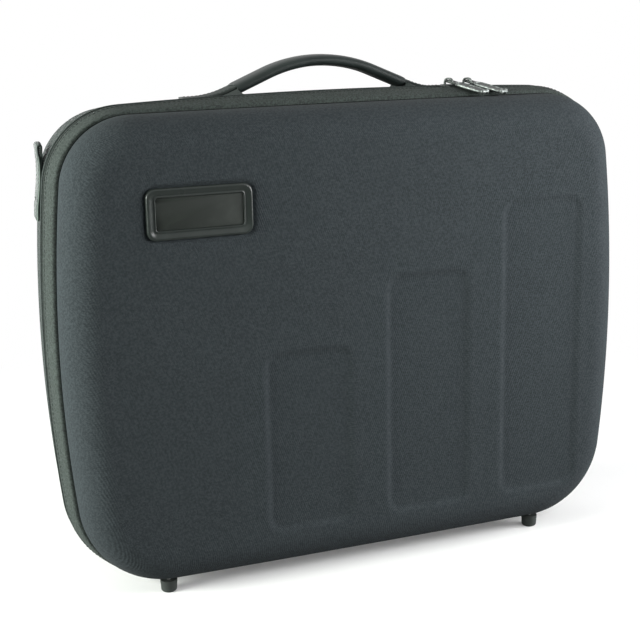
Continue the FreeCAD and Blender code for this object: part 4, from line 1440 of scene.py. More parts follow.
@dataclass
class RearShell:
    """Drafted rear shell with the soft humps that carry the handle.

    Attributes:
        cells: Cells across and up the back.
        rounding: Radius of the back edge.
        wall: Wall thickness.
        chamfer: Chamfer inside the back edge.
        hump_reach: How far a hump reaches ahead of the handle's middle and behind it.
        hump_flat: How far its flat top reaches to each side of that middle.
        hump_fade: Places across where it starts to sink and where it ends.
        hump_depth: Depth of its top below the handle's top line.
    """

    cells: tuple[int, int] = (96, 76)
    rounding: float = 24.0
    wall: float = 3.5
    chamfer: float = 15.0
    hump_reach: Pair = (29.0, 21.0)
    hump_flat: float = 10.5
    hump_fade: Pair = (98.0, 112.0)
    hump_depth: float = 3.4

    def top(self, x: float, y: float) -> float:
        """Height of the shell's top at a place across and back, all in metres."""
        return RIDGE_LINE.height(x) - (y - Stations.rear) * math.tan(math.radians(DRAFT))

    def build(self) -> Piece:
        """Builds the shell.

        Returns:
            The piece.
        """
        lean = math.radians(DRAFT)
        slope = math.tan(lean)
        rear, back, radius = Stations.rear / MM, Stations.back / MM, self.rounding
        hub = -(radius - (rear - back + radius) * math.sin(lean)) / math.cos(lean)
        outside = [(-self.wall, rear), (-self.wall + 0.4, rear), (-0.9, rear), (-0.25, rear + 0.25)]
        outside += [(-0.9 * slope, rear + 0.9)]
        outside += [(-(y - rear) * slope, y) for y in np.linspace(rear, back - radius, 7)[1:-1]]
        for angle in np.linspace(lean, math.pi / 2, 13):
            outside.append((hub + radius * math.cos(angle), back - radius + radius * math.sin(angle)))
        floor, soft = back - self.wall, self.chamfer
        inside = [(-self.wall, rear), (-self.wall - (floor - soft - rear) * slope, floor - soft)]
        inside += [(-self.wall - (floor - rear) * slope - soft, floor)]
        form = Form().outlined(RIDGE_LINE, outside, self.cells, [-1])
        form.outlined(RIDGE_LINE, inside, self.cells, [-1])
        return form.make("rear_shell_skin", Palette.rear, Body.BASE)

    def hump(self, side: int) -> None:
        """Builds one hump.

        Args:
            side: 1 for the right one and -1 for the left.
        """
        line = HandleLine()
        ahead, behind = self.hump_reach
        sinking, end = self.hump_fade
        under = line.curve(line.lip + 0.5, line.end, self.hump_depth, 60)
        rows = []
        for place in np.linspace(under[0, 0], end, 30):
            height = float(np.interp(place, *under.T)) * MM
            fade = float(1 - smooth(place, sinking, end))
            row = []
            for share in np.linspace(-1, 1, 33):
                reach = ahead if share < 0 else behind
                y = Stations.handle + share * reach * MM
                base = self.top(place * MM, y)
                rise = max(height - base, 0.0) * fade
                spread = float(1 - smooth(abs(share) * reach, self.hump_flat, reach))
                row.append((place * side * MM, y, base + rise * spread - 0.25 * MM * (abs(share) > 0.99)))
            rows.append(row)
        front = [(x, y, self.top(x, y) - 0.3 * MM) for x, y, _ in rows[0]]
        name = "hump_right" if side > 0 else "hump_left"
        Form().grid(np.array([front, *rows])).make(name, Palette.rear, Body.BASE, sharp=50.0)

    def dress(self) -> None:
        """Builds the pieces in place of their CAD node."""
        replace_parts(self.build(), "rear_shell")
        self.hump(-1)
        self.hump(1)


# Handle


@dataclass(frozen=True)
class HandleLine:
    """The handle's top line on one side: an arc, a straight flank, a flare and a tail.

    Attributes:
        apex: Height of its middle.
        radius: Radius of the arc.
        slope: Slope of the flank, in degrees.
        flank: Length of the flank.
        flare: Radius of the flare.
        tail: Length of the tail.
        grip: How far down the flank the grip reaches.
    """

    apex: float = 364.1
    radius: float = 108.0
    slope: float = 22.8
    flank: float = 30.0
    flare: float = 66.0
    tail: float = 7.0
    grip: float = 25.7

    @property
    def bend(self) -> float:
        """Slope in radians."""
        return math.radians(self.slope)

    @property
    def lip(self) -> float:
        """Run from the middle to the grip's lip."""
        return self.radius * self.bend + self.grip

    @property
    def end(self) -> float:
        """Run from the middle to the end of the tail."""
        return self.radius * self.bend + self.flank + self.flare * self.bend + self.tail

    def at(self, run: float, depth: float) -> Pair:
        """A point under the top line.

        Args:
            run: Length along the top line from its middle.
            depth: Depth below it.

        Returns:
            X and Z.
        """
        arc, flank = self.radius * self.bend, self.flank
        flare = self.flare * self.bend
        base = self.apex - self.radius
        if run <= arc:
            angle = run / self.radius
            reach = self.radius - depth
            return reach * math.sin(angle), base + reach * math.cos(angle)
        sine, cosine = math.sin(self.bend), math.cos(self.bend)
        x, z = (self.radius - depth) * sine, base + (self.radius - depth) * cosine
        down = min(run - arc, flank)
        x, z = x + down * cosine, z - down * sine
        if run <= arc + flank:
            return x, z
        reach = self.flare + depth
        angle = self.bend - min(run - arc - flank, flare) / self.flare
        x += reach * (sine - math.sin(angle))
        z -= reach * (math.cos(angle) - cosine)
        return x + max(run - arc - flank - flare, 0.0), z

    def curve(self, start: float, stop: float, depth: float, count: int) -> Points:
        """Points under the top line between two runs.

        Args:
            start: First run.
            stop: Last run.
            depth: Depth below the line.
            count: How many points.

        Returns:
            Rows of X and Z.
        """
        return np.array([self.at(run, depth) for run in np.linspace(start, stop, count)])

    def whole(self, reach: float, depth: float, count: int) -> Points:
        """Points under the top line from the left to the right.

        Args:
            reach: Run at both ends.
            depth: Depth below the line.
            count: How many points on each side.

        Returns:
            Rows of X, Y and Z in metres.
        """
        right = self.curve(0.0, reach, depth, count)
        left = right[:0:-1] * (-1, 1)
        plan = np.vstack([left, right]) * MM
        return ring(plan, Stations.handle)


@dataclass
class Handle:
    """Carrying handle: a strap whose middle runs through a moulded grip.

    Attributes:
        line: The handle's top line.
        grip_width: Width of the grip.
        grip_thickness: Thickness of the grip.
        grip_bluntness: Exponent of the grip's section, from 2 for an ellipse upwards.
        grip_pinch: How far the grip's ends are drawn in, as a share, and over what length.
        strap_width: Width of the strap.
        strap_thickness: Thickness of the strap.
        strap_depth: Depth of the strap below the top line.
        seam: Distance of its stitches from the strap's middle.
        stitch: Its stitches.
    """

    line: HandleLine = HandleLine()
    grip_width: float = 24.0
    grip_thickness: float = 8.0
    grip_bluntness: float = 2.8
    grip_pinch: Pair = (0.04, 0.8)
    strap_width: float = 19.0
    strap_thickness: float = 2.2
    strap_depth: float = 1.3
    seam: float = 7.6
    stitch: Stitch = Stitch(2.2, 3.0, 0.2)

    def grip(self) -> Piece:
        """Builds the grip.

        Returns:
            The piece.
        """
        half, thick, power = self.grip_width / 2, self.grip_thickness / 2, 2 / self.grip_bluntness
        pinch, length = self.grip_pinch
        oval = np.column_stack([np.cos(circle(48)), np.sin(circle(48))])
        oval = np.sign(oval) * np.abs(oval) ** power * (half, thick)

        def section(share: float) -> Points:
            """The oval, drawn in at the grip's two ends."""
            end = min(share, 1 - share) * 2 * self.line.lip
            return oval * (1 - pinch * float(1 - smooth(end, 0.0, length))) * MM

        form = Form().sweep(self.line.whole(self.line.lip, thick, 30), section, Y_AXIS)
        return form.make("grip_skin", Palette.grip, Body.BASE, sharp=50.0)

    def underseam(self) -> None:
        """Builds the closed seam along the grip's underside."""
        path = self.line.whole(self.line.lip - 3.0, self.grip_thickness - 0.1, 30)
        form = Form().sweep(path, bar(0.7, 0.35, 0.3, 3), Y_AXIS)
        form.make("grip_underseam", Palette.piping, Body.BASE)

    def strap(self) -> Piece:
        """Builds the strap.

        Returns:
            The piece.
        """
        half, thick = self.strap_width / 2, self.strap_thickness / 2
        path = self.line.whole(self.line.end, self.strap_depth + thick, 60)
        form = Form().sweep(path, bar(half, thick, 0.8), Y_AXIS)
        return form.make("strap_skin", Palette.strap, Body.BASE, sharp=50.0)

    def sew(self) -> None:
        """Builds the stitches along the strap's tails."""
        form = Form()
        run = self.line.curve(self.line.lip + 3.0, self.line.end - 2.0, self.strap_depth - 0.05, 40)
        for side in (-1, 1):
            for edge in (-1, 1):
                path = ring(run * (side * MM, MM), Stations.handle + edge * self.seam * MM)
                self.stitch.sew(form, path, np.tile(Z_AXIS, (len(run), 1)))
        form.make("strap_stitches", Palette.thread, Body.BASE)

    def dress(self) -> None:
        """Builds the pieces in place of their CAD nodes."""
        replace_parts(self.grip(), "handle_grip")
        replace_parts(self.strap(), "handle_strap")
        self.underseam()
        self.sew()


# Badge


@dataclass
class Badge:
    """Bare name plate in its glossy frame.

    Attributes:
        proud: How far the frame stands out.
        rim: Width of the frame.
    """

    proud: float = 1.9
    rim: float = 6.3

    def loop(self, inset: float, out: float) -> Points:
        """A ring of the frame.

        Args:
            inset: Distance inside its outer edge.
            out: Distance in front of the shell's face.

        Returns:
            The ring.
        """
        corner = max(BADGE_CORNER - inset * 0.75, 1.2)
        plan = round_box(*BADGE_BOX, corner, steps=10, cells=8, inset=inset)
        return ring(plan * MM, Stations.front - out * MM)

    def frame(self) -> Piece:
        """Builds the frame.

        Returns:
            The piece.
        """
        top = self.proud
        profile = [(0.1, -2.0), (0.0, top - 1.7), (0.1, top - 1.0), (0.45, top - 0.4), (1.0, top - 0.06)]
        profile += [(1.5, top), (2.2, top - 0.14), (3.2, top - 0.62), (4.3, top - 1.0), (5.2, top - 1.1)]
        profile += [(5.45, top - 0.9), (5.75, top - 0.8), (6.05, top - 0.9), (self.rim, top - 1.2)]
        profile += [(self.rim, -2.0)]
        form = Form().tube([self.loop(*row) for row in profile], looped=True)
        return form.make("badge_bezel", Palette.bezel, Body.LID, sharp=55.0)

    def plate(self) -> Piece:
        """Builds the plate.

        Returns:
            The piece.
        """
        out = self.proud - 1.6
        profile = [(self.rim, -2.0), (self.rim, out - 0.3), (self.rim + 0.35, out)]
        form = Form().tube([self.loop(*row) for row in profile], caps=True)
        return form.make("badge_panel", Palette.plate, Body.LID)

    def dress(self) -> None:
        """Builds the pieces in place of their CAD nodes."""
        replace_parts(self.frame(), "badge_frame")
        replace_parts(self.plate(), "badge_plate")


# Feet


@dataclass
class Feet(Part):
    """A pair of rubber feet.

    Attributes:
        y: Their Y, in metres.
        spread: Distance of each from the middle.
        radius: Their radius.
        height: Their height.
    """

    y: float
    spread: float = 144.5
    radius: float = 6.0
    height: float = 7.2

    def dress(self) -> None:
        """Builds the feet in place of their CAD node."""
        shoulder, base = self.height + 1.5, self.radius - 2.1
        profile = [(self.radius * 0.6, shoulder), (self.radius, shoulder)]
        profile += [(self.radius, self.height - 0.6), (self.radius - 0.15, self.height - 1.2)]
        profile += [(base + 1.75 * math.cos(angle), 1.9 - 1.9 * math.sin(angle)) for angle in quarter(7)]
        profile += [(1.2, 0.0)]
        form = Form()
        for side in (-1, 1):
            hub = np.array([side * self.spread * MM, self.y, 0.0])
            rings = [hoop(hub + z * MM * Z_AXIS, r * MM, X_AXIS, Y_AXIS, 32) for r, z in profile]
            form.tube(rings, caps=True)
        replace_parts(form.make(self.name, Palette.foot, self.body), self.node)


# Side loops


@dataclass
class SideLoop(Part):
    """Folded loop for a shoulder strap on one side.

    Attributes:
        side: 1 for the right side and -1 for the left.
        outside: Distance of its outer face's foot from the middle.
        drafts: How far its outer and inner layers lean inwards towards the back, in degrees.
        layer: Thickness of a layer.
        eye: Gap between the layers at the fold.
        drift: Heights, and how far the outer and the inner layer lie inside their foot there.
        rivets: Y and height of each rivet.
        rivet: Radius of the rivets.
        low: Its lowest height.
        high: Its highest height.
        near: Its front edge's Y.
        width: Its width.
        seam: Distance of its stitches from its middle.
        stitch: Its stitches.
    """

    side: int
    outside: float = 211.2
    drafts: Pair = (3.9, DRAFT)
    layer: float = 1.4
    eye: float = 0.5
    drift: tuple[tuple[float, float, float], ...] = (
        (262.0, 0.0, 0.0),
        (270.0, 0.5, 0.6),
        (280.0, 2.1, 1.9),
        (290.0, 3.4, 2.9),
        (300.0, 3.8, 3.2),
        (307.0, 3.3, 3.6),
        (313.0, 3.0, 3.9),
    )
    rivets: tuple[Pair, ...] = ((8.5, 274.0), (19.5, 274.0))
    rivet: float = 2.2
    low: float = 262.0
    high: float = 313.0
    near: float = 2.0
    width: float = 24.0
    seam: float = 10.0
    stitch: Stitch = Stitch(2.2, 3.0, 0.12)

    @property
    def inside(self) -> float:
        """Distance of its inner face's foot from the middle."""
        return self.outside - 2 * self.layer - self.eye

    def faces(self, height: np.ndarray | float) -> tuple[np.ndarray, np.ndarray]:
        """Its outer and its inner face.

        Args:
            height: Heights.

        Returns:
            Their distances from the case's middle at those heights.
        """
        heights, *drifts = np.array(self.drift).T
        outer, inner = (np.interp(height, heights, drift) for drift in drifts)
        return self.outside - outer, self.inside - inner

    def path(self) -> Points:
        """Middle line of the folded layer, from the foot of the outer layer to the foot of the inner one.

        Returns:
            Rows of X and Z.
        """
        half = self.layer / 2
        outer, inner = self.faces(self.high)
        top = self.high - half - (outer - inner - self.layer) / 2
        rise = np.linspace(self.low, top, 18)
        outer, inner = self.faces(rise)
        out, back = outer - half, inner + half
        middle, gap = (out[-1] + back[-1]) / 2, (out[-1] - back[-1]) / 2
        turn = np.linspace(0, math.pi, 11)[1:-1]
        bend = np.column_stack([middle + gap * np.cos(turn), top + gap * np.sin(turn)])
        return np.vstack([np.column_stack([out, rise]), bend, np.column_stack([back, rise])[::-1]])

    def leaned(self, rows: Points) -> Points:
        """Points leaned inwards towards the back.

        Args:
            rows: Rows of points, in metres.

        Returns:
            The new rows.
        """
        found = rows.copy()
        outer, _ = self.faces(found[:, 2] / MM)
        inwards = (outer - np.abs(found[:, 0]) / MM) / (self.outside - self.inside)
        lean = np.interp(inwards, (0.0, 1.0), np.tan(np.radians(self.drafts)))
        found[:, 0] -= self.side * (found[:, 1] - self.near * MM) * lean
        return found

    def fold(self) -> Piece:
        """Builds the folded strap.

        Returns:
            The piece.
        """
        half = self.width / 2
        path = ring(self.path() * (self.side * MM, MM), (self.near + half) * MM)
        form = Form().sweep(path, bar(half, self.layer / 2, 0.7), Y_AXIS).moved(self.leaned)
        # The loop's lightened colour is partly a painted reflection
        return form.make(self.name, Palette.loop, self.body, sharp=50.0)

    def outer(self) -> Points:
        """The outer layer's middle line below the fold, as rows of X and Z in metres."""
        return self.path()[:16] * (self.side * MM, MM)

    def edges(self) -> None:
        """Builds the pale beads along the outer layer's two edges, a painted highlight of the light on them.
        """
        form = Form()
        for y in (self.near, self.near + self.width):
            form.sweep(ring(self.outer(), y * MM), bar(0.5, 0.55, 0.4), Y_AXIS)
        # Pale colour of the beads is a painted highlight
        form.moved(self.leaned).make(self.name + "_edges", Palette.edge, self.body)

    def sew(self) -> None:
        """Builds the stitches along the outer layer's two edges."""
        form = Form()
        line = self.outer() + (self.side * self.layer / 2 * MM, 0.0)
        for edge in (-1, 1):
            path = ring(line, (self.near + self.width / 2 + edge * self.seam) * MM)
            self.stitch.sew(form, path, np.tile(self.side * X_AXIS, (len(line), 1)))
        form.moved(self.leaned).make(self.name + "_stitches", Palette.thread, self.body)

    def dress(self) -> None:
        """Builds the loop in place of its CAD node, with its painted-highlight beads and stitches."""
        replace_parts(self.fold(), self.node)
        self.edges()
        self.sew()

    def plate(self) -> Piece:
        """Builds the stiffening plate between the loop and the wall.

        Returns:
            The piece.
        """
        near, far = self.near + 1.0, self.near + self.width - 1.0
        rings = []
        for z in np.linspace(self.low + 0.5, self.low + 23.5, 8):
            out = float(self.faces(z)[1]) - 0.1
            plan = round_box(out - 1.6, out, near, far, 0.6, steps=3)
            rings.append(tier(plan * (self.side, 1), z) * MM)
        form = Form().tube(rings, caps=True).moved(self.leaned)
        return form.make(self.name + "_plate", Palette.stiffener, self.body)

    def heads(self) -> Piece:
        """Builds the low domes of the rivets.

        Returns:
            The piece.
        """
        form = Form()
        dome = ((1.0, -0.24), (1.0, 0.09), (0.8, 0.24), (0.4, 0.33), (0.05, 0.36))
        for y, z in self.rivets:
            face = float(self.faces(z)[0])
            rings = []
            for share, out in dome:
                hub = np.array([self.side * (face + out), y, z]) * MM
                rings.append(hoop(hub, self.rivet * share * MM, Y_AXIS, Z_AXIS, 20))
            form.tube(rings, caps=True)
        return form.moved(self.leaned).make(self.name + "_rivets", Palette.gunmetal, self.body)


# Sliders and pulls


@dataclass
class ZipPull:
    """Slider and pull tag.

    Attributes:
        name: What the piece names end with.
        place: Its place along X.
        slider_body: The body the slider rides on.
        pull_body: The body the pull rides on.
        yaw: Turn of the pull from the front towards the right, in degrees.
        pitch: Dip of the pull, in degrees.
        bar: Height of the pull's bar over the ridge.
        length: Length of the pull from its bar to its tip.
        width: Width of the pull.
        corner: Radius of the pull's corners.
        plates: Half of the slider's length and width.
        bridge: Half of the bridge's span, its rise and the height of its feet.
        eye_outer: Left, right, low and high of the pull's eye, outside.
        eye_inner: The same of its opening.
        start: Where the tag starts, from the bar.
        rim_radii: Radii of its rim sideways and up.
        stud: Radius and height of a stud.
    """

    name: str
    place: float
    slider_body: Body
    pull_body: Body
    yaw: float = 27.0
    pitch: float = 12.0
    bar: float = 3.3
    length: float = 33.5
    width: float = 10.2
    corner: float = 3.9
    plates: Pair = (5.75, 4.5)
    bridge: tuple[float, float, float] = (3.4, 4.15, 0.9)
    eye_outer: Box = (-0.75, 8.4, -3.2, 3.2)
    eye_inner: Box = (0.75, 5.3, -1.9, 1.9)
    start: float = 7.0
    rim_radii: Pair = (0.75, 1.15)
    stud: Pair = (1.7, 2.0)

    def frame(self, lift: float, turn: float, dip: float) -> Matrix:
        """Placement on the track.

        Args:
            lift: Height over the ridge.
            turn: Turn about Z, in degrees.
            dip: Dip about the turned Y, in degrees.

        Returns:
            The matrix from a piece's own millimetres to metres in the row frame.
        """
        x = self.place * MM
        place = Matrix.Translation((x, Stations.zip, RIDGE_LINE.height(x) + lift * MM))
        rotation = Matrix.Rotation(math.radians(turn), 4, "Z") @ Matrix.Rotation(math.radians(dip), 4, "Y")
        return place @ rotation @ Matrix.Scale(MM, 4)

    def slider(self) -> Piece:
        """Builds the slider with its bridge.

        Returns:
            The piece.
        """
        long, wide = self.plates
        span, rise, foot = self.bridge

        def plan(inset: float) -> Points:
            """Rows of the plates' outline at an inset."""
            return round_box(-long, long, -wide, wide, 2.0 - inset / 2, steps=5, inset=inset)

        form = Form().slab(plan, [(0.3, -0.4), (0.0, -0.2), (0.0, 0.45), (0.5, 0.9), (1.2, 1.0)])
        form.slab(plan, [(0.6, -4.7), (0.0, -4.3), (0.0, -3.8), (0.3, -3.6)])
        form.slab(lambda inset: round_box(-2.0, 2.0, -0.5, 0.5, 0.3, steps=2), [(0.0, -3.7), (0.0, -0.3)])
        slope = math.degrees(math.atan2(2 * RIDGE_LINE.bows[1] * self.place, RIDGE_LINE.half_width**2))
        form.placed(self.frame(0.0, 0.0, slope))
        turn = np.linspace(0, math.pi, 25)
        bow = np.column_stack([np.cos(turn), np.sin(turn)])
        bow = np.sign(bow) * np.abs(bow) ** 0.7 * (span, rise) + (0.0, foot)
        arch = Form().sweep(ring(bow, 0.0), round_box(-1.0, 1.0, -0.6, 0.6, 0.4, steps=3), Y_AXIS)
        form.joined(arch.placed(self.frame(0.0, self.yaw - 90, 0.0)))
        return form.make("slider_" + self.name, Palette.gunmetal, self.slider_body, sharp=35.0)

    def pull(self) -> Piece:
        """Builds the pull.

        Returns:
            The piece.
        """
        outer = round_box(*self.eye_outer, 0.7, steps=4, cells=3)
        inner = round_box(*self.eye_inner, 0.5, steps=4, cells=3)
        levels = [(outer, -0.45, 0.0), (outer, 0.45, 0.0), (outer, 0.75, 0.04), (inner, 0.75, -0.06)]
        levels += [(inner, 0.45, 0.0), (inner, -0.45, 0.0), (inner, -0.75, -0.06), (outer, -0.75, 0.04)]
        rings = []
        for plan, z, drawn in levels:
            middle = plan.mean(axis=0)
            rings.append(tier(middle + (plan - middle) * (1 - drawn), z))
        form = Form().tube(rings, looped=True)
        form.slab(self.plan, [(1.2, -0.5), (0.6, -0.55), (0.6, 0.55), (1.2, 0.5)])
        form.placed(self.frame(self.bar, self.yaw - 90, self.pitch))
        return form.make("pull_" + self.name, Palette.pull_face, self.pull_body, sharp=35.0)

    def plan(self, inset: float) -> Points:
        """Outline of the tag.

        Args:
            inset: How far inside it lies.

        Returns:
            Rows of X and Y.
        """
        half, corner = self.width / 2, self.corner - inset * 0.6
        rows = round_box(self.start, self.length, -half, half, corner, cells=8, inset=inset)
        rows[:, 1] *= 1 - 0.24 * (1 - smooth(rows[:, 0], self.start, self.start + 5.0))
        return rows

    def rim(self) -> None:
        """Builds the rolled rim of the pull with the two studs at its tip."""
        side, up = self.rim_radii
        rings = [tier(self.plan(side - side * math.cos(a)), up * math.sin(a)) for a in circle(12)]
        form = Form().tube(rings, looped=True)
        radius, height = self.stud
        for y in (-self.width / 4, self.width / 4):
            studs = []
            for angle in np.linspace(-math.pi / 2, math.pi / 2, 9):
                hub = np.array([self.length - 1.1, y, height * math.sin(angle)])
                studs.append(hoop(hub, radius * math.cos(angle) + 0.01, X_AXIS, Y_AXIS, 16))
            form.tube(studs, caps=True)
        form.placed(self.frame(self.bar, self.yaw - 90, self.pitch))
        form.make("pull_rim_" + self.name, Palette.nickel, self.pull_body, sharp=35.0)

    def dress(self) -> None:
        """Builds the pieces in place of their CAD nodes."""
        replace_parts(self.slider(), "zip_slider_" + self.name)
        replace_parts(self.pull(), "zip_pull_" + self.name)
        self.rim()


# Soft pieces inside


def rounded(corners: Sequence[tuple[float, float, float]]) -> Points:
    """A polygon of right angles with rounded corners.

    Args:
        corners: First coordinate, second coordinate and radius of each corner.

    Returns:
        Rows of the two coordinates.
    """
    rows = []
    for number, (first, second, radius) in enumerate(corners):
        here = np.array((first, second))
        before = np.array(corners[number - 1][:2]) - here
        after = np.array(corners[(number + 1) % len(corners)][:2]) - here
        before, after = before / np.linalg.norm(before), after / np.linalg.norm(after)
        for angle in quarter(5):
            reach = before * (1 - math.sin(angle)) + after * (1 - math.cos(angle))
            rows.append(here + reach * radius)
    return np.array(rows)


@dataclass
class Linings:
    """Cloth linings glued into the two shells.

    Attributes:
        front_growth: Growth of the front one from the seam line.
        rear_growth: Growth of the rear one from the ridge line.
        thickness: Their thickness.
    """

    front_growth: float = -27.0
    rear_growth: float = -34.67
    thickness: float = 1.2

    def sheet(self, name: str, body: Body, line: Outline, growth: float, y: float) -> Piece:
        """Builds one lining with a rounded edge.

        Args:
            name: The piece's name.
            body: Its body.
            line: The outline that it follows.
            growth: Its growth from that outline.
            y: The side nearer to the front.

        Returns:
            The piece.
        """
        profile = [(-0.6, 0.0), (-0.1, 0.15), (0.0, 0.5), (-0.1, 0.85), (-0.6, 1.0)]
        rows = [(growth + inset, y + share * self.thickness) for inset, share in profile]
        return Form().outlined(line, rows, (72, 56), [0, -1]).make(name, Palette.lining, body)

    def dress(self) -> None:
        """Builds the linings in place of their CAD nodes."""
        front = self.sheet("front_lining_cloth", Body.LID, SEAM_LINE, self.front_growth, -58.05)
        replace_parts(front, "front_lining")
        rear = self.sheet("rear_lining_cloth", Body.BASE, RIDGE_LINE, self.rear_growth, 58.75)
        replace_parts(rear, "rear_lining")


@dataclass
class LaptopBed:
    """Padded back, corner blocks and straps that hold the laptop.

    Attributes:
        half: Half of the pad's width and height.
        back: Where the pad lies on the lining.
        face: The pad's face at its edge.
        front: The blocks' front.
        crown: How far the pad's middle swells.
        waist: How far its sides are drawn in at their middle.
        leg: Length of a block's legs.
        wall: Thickness of a block's legs.
        strap_place: Place of the straps.
        strap_half: Half of the straps' width.
    """

    half: Pair = (176.0, 126.0)
    back: float = 58.75
    face: float = 52.75
    front: float = 22.75
    crown: float = 2.4
    waist: float = 0.9
    leg: float = 52.0
    wall: float = 14.0
    strap_place: float = 70.0
    strap_half: float = 19.0

    def swollen(self, rows: Points) -> Points:
        """Points of the pad with its crown and its drawn-in sides.

        Args:
            rows: Rows of points, in metres.

        Returns:
            The new rows.
        """
        found = rows.copy()
        u = rows[:, 0] / (self.half[0] * MM)
        v = (rows[:, 2] - CENTRE_Z) / (self.half[1] * MM)
        off = np.clip(np.abs([u, v]), 0, 1)
        front = 1 - smooth(rows[:, 1], (self.face + 0.2) * MM, (self.face + 1.2) * MM)
        found[:, 1] -= self.crown * MM * np.prod(1 - off**5, axis=0) * front
        for axis, here, other in ((0, u, off[1]), (2, v, off[0])):
            drawn = self.waist * MM * smooth(np.abs(here), 0.9, 1.0) * (1 - other**2)
            found[:, axis] -= np.sign(here) * drawn
        return found

    def pad(self) -> Piece:
        """Builds the crowned pad.

        Returns:
            The piece.
        """
        line = Outline(self.half[0], self.half[1], self.half[1], (0.2, 0.2, 0.2), (20.0, 20.0))
        rows = [(-1.6, self.back), (-0.4, self.back - 0.4), (0.1, self.back - 1.6), (0.2, self.back - 3.0)]
        rows += [(0.0, self.face + 1.6), (-0.7, self.face + 0.5), (-2.2, self.face)]
        form = Form().outlined(line, rows, (64, 48), [0, -1])
        return form.moved(self.swollen).make("laptop_pad_cover", Palette.foam, Body.BASE)

    def blocks(self) -> Piece:
        """Builds the four corner blocks.

        Returns:
            The piece.
        """
        profile = [(1.2, self.face + 0.6), (0.4, self.face - 1.5), (0.0, self.face - 6.0)]
        profile += [(-0.3, 38.0), (0.0, self.front + 6.0), (0.7, self.front + 2.2), (2.0, self.front + 0.6)]
        profile += [(3.8, self.front)]
        form = Form()
        for across in (-1, 1):
            for up in (-1, 1):
                rings = []
                for inset, y in profile:
                    near, far, inner, soft = inset, self.leg - inset, self.wall - inset, 4.5 - inset
                    corners = [(near, near, 9.0 - inset), (far, near, soft), (far, inner, soft)]
                    corners += [(inner, inner, 4.0 + inset), (inner, far, soft), (near, far, soft)]
                    plan = (self.half - rounded(corners)) * (across * MM, up * MM) + (0.0, CENTRE_Z)
                    rings.append(ring(plan, y * MM))
                form.tube(rings, caps=True)
        return form.make("corner_block_covers", Palette.foam, Body.BASE, sharp=60.0)

    def strap(self, name: str, up: int, level: float, end: float) -> Piece:
        """Builds the two straps of one end, bent at the pad's edge.

        Args:
            name: The piece's name.
            up: 1 for the upper ones and -1 for the lower ones.
            level: Middle of their thickness.
            end: Height of their free ends.

        Returns:
            The piece.
        """
        bend, foot = 4.0, CENTRE_Z / MM + (self.half[1] - 0.8) * up
        rows = [(y, foot) for y in np.linspace(self.face, level + bend, 8)]
        for angle in quarter(6)[1:]:
            rows.append((level + bend * (1 - math.sin(angle)), foot - up * bend * (1 - math.cos(angle))))
        rows += [(level, z) for z in np.linspace(foot - up * bend, end, 40)[1:]]
        form = Form()
        for side in (-1, 1):
            path = slice_at(side * self.strap_place, np.array(rows)) * MM
            form.sweep(path, bar(self.strap_half, 0.8, 0.7, cells=10), X_AXIS)
        return form.make(name, Palette.webbing, Body.BASE)

    def patches(self) -> Piece:
        """Builds the hook patches between the straps.

        Returns:
            The piece.
        """
        form = Form()
        for side in (-1, 1):
            left, right = side * self.strap_place - self.strap_half, side * self.strap_place + self.strap_half
            rings = []
            for inset, y in ((0.3, 21.15), (0.0, 20.85), (0.0, 20.25), (0.3, 19.95)):
                plan = round_box(left, right, 136.0, 206.0, 2.0 - inset, inset=inset)
                rings.append(ring(plan, y) * MM)
            form.tube(rings, caps=True)
        return form.make("hook_patches", Palette.patch, Body.BASE)

    def dress(self) -> None:
        """Builds the pieces in place of their CAD nodes."""
        pad = self.pad()
        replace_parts(pad, "laptop_pad")
        blocks = self.blocks()
        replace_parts(blocks, "corner_blocks")
        lower = self.strap("laptop_straps_lower", -1, 21.95, 206.0)
        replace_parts(lower, "lower_laptop_strap")
        upper = self.strap("laptop_straps_upper", 1, 19.15, 136.0)
        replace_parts(upper, "upper_laptop_strap")
        patches = self.patches()
        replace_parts(patches, "strap_patches")


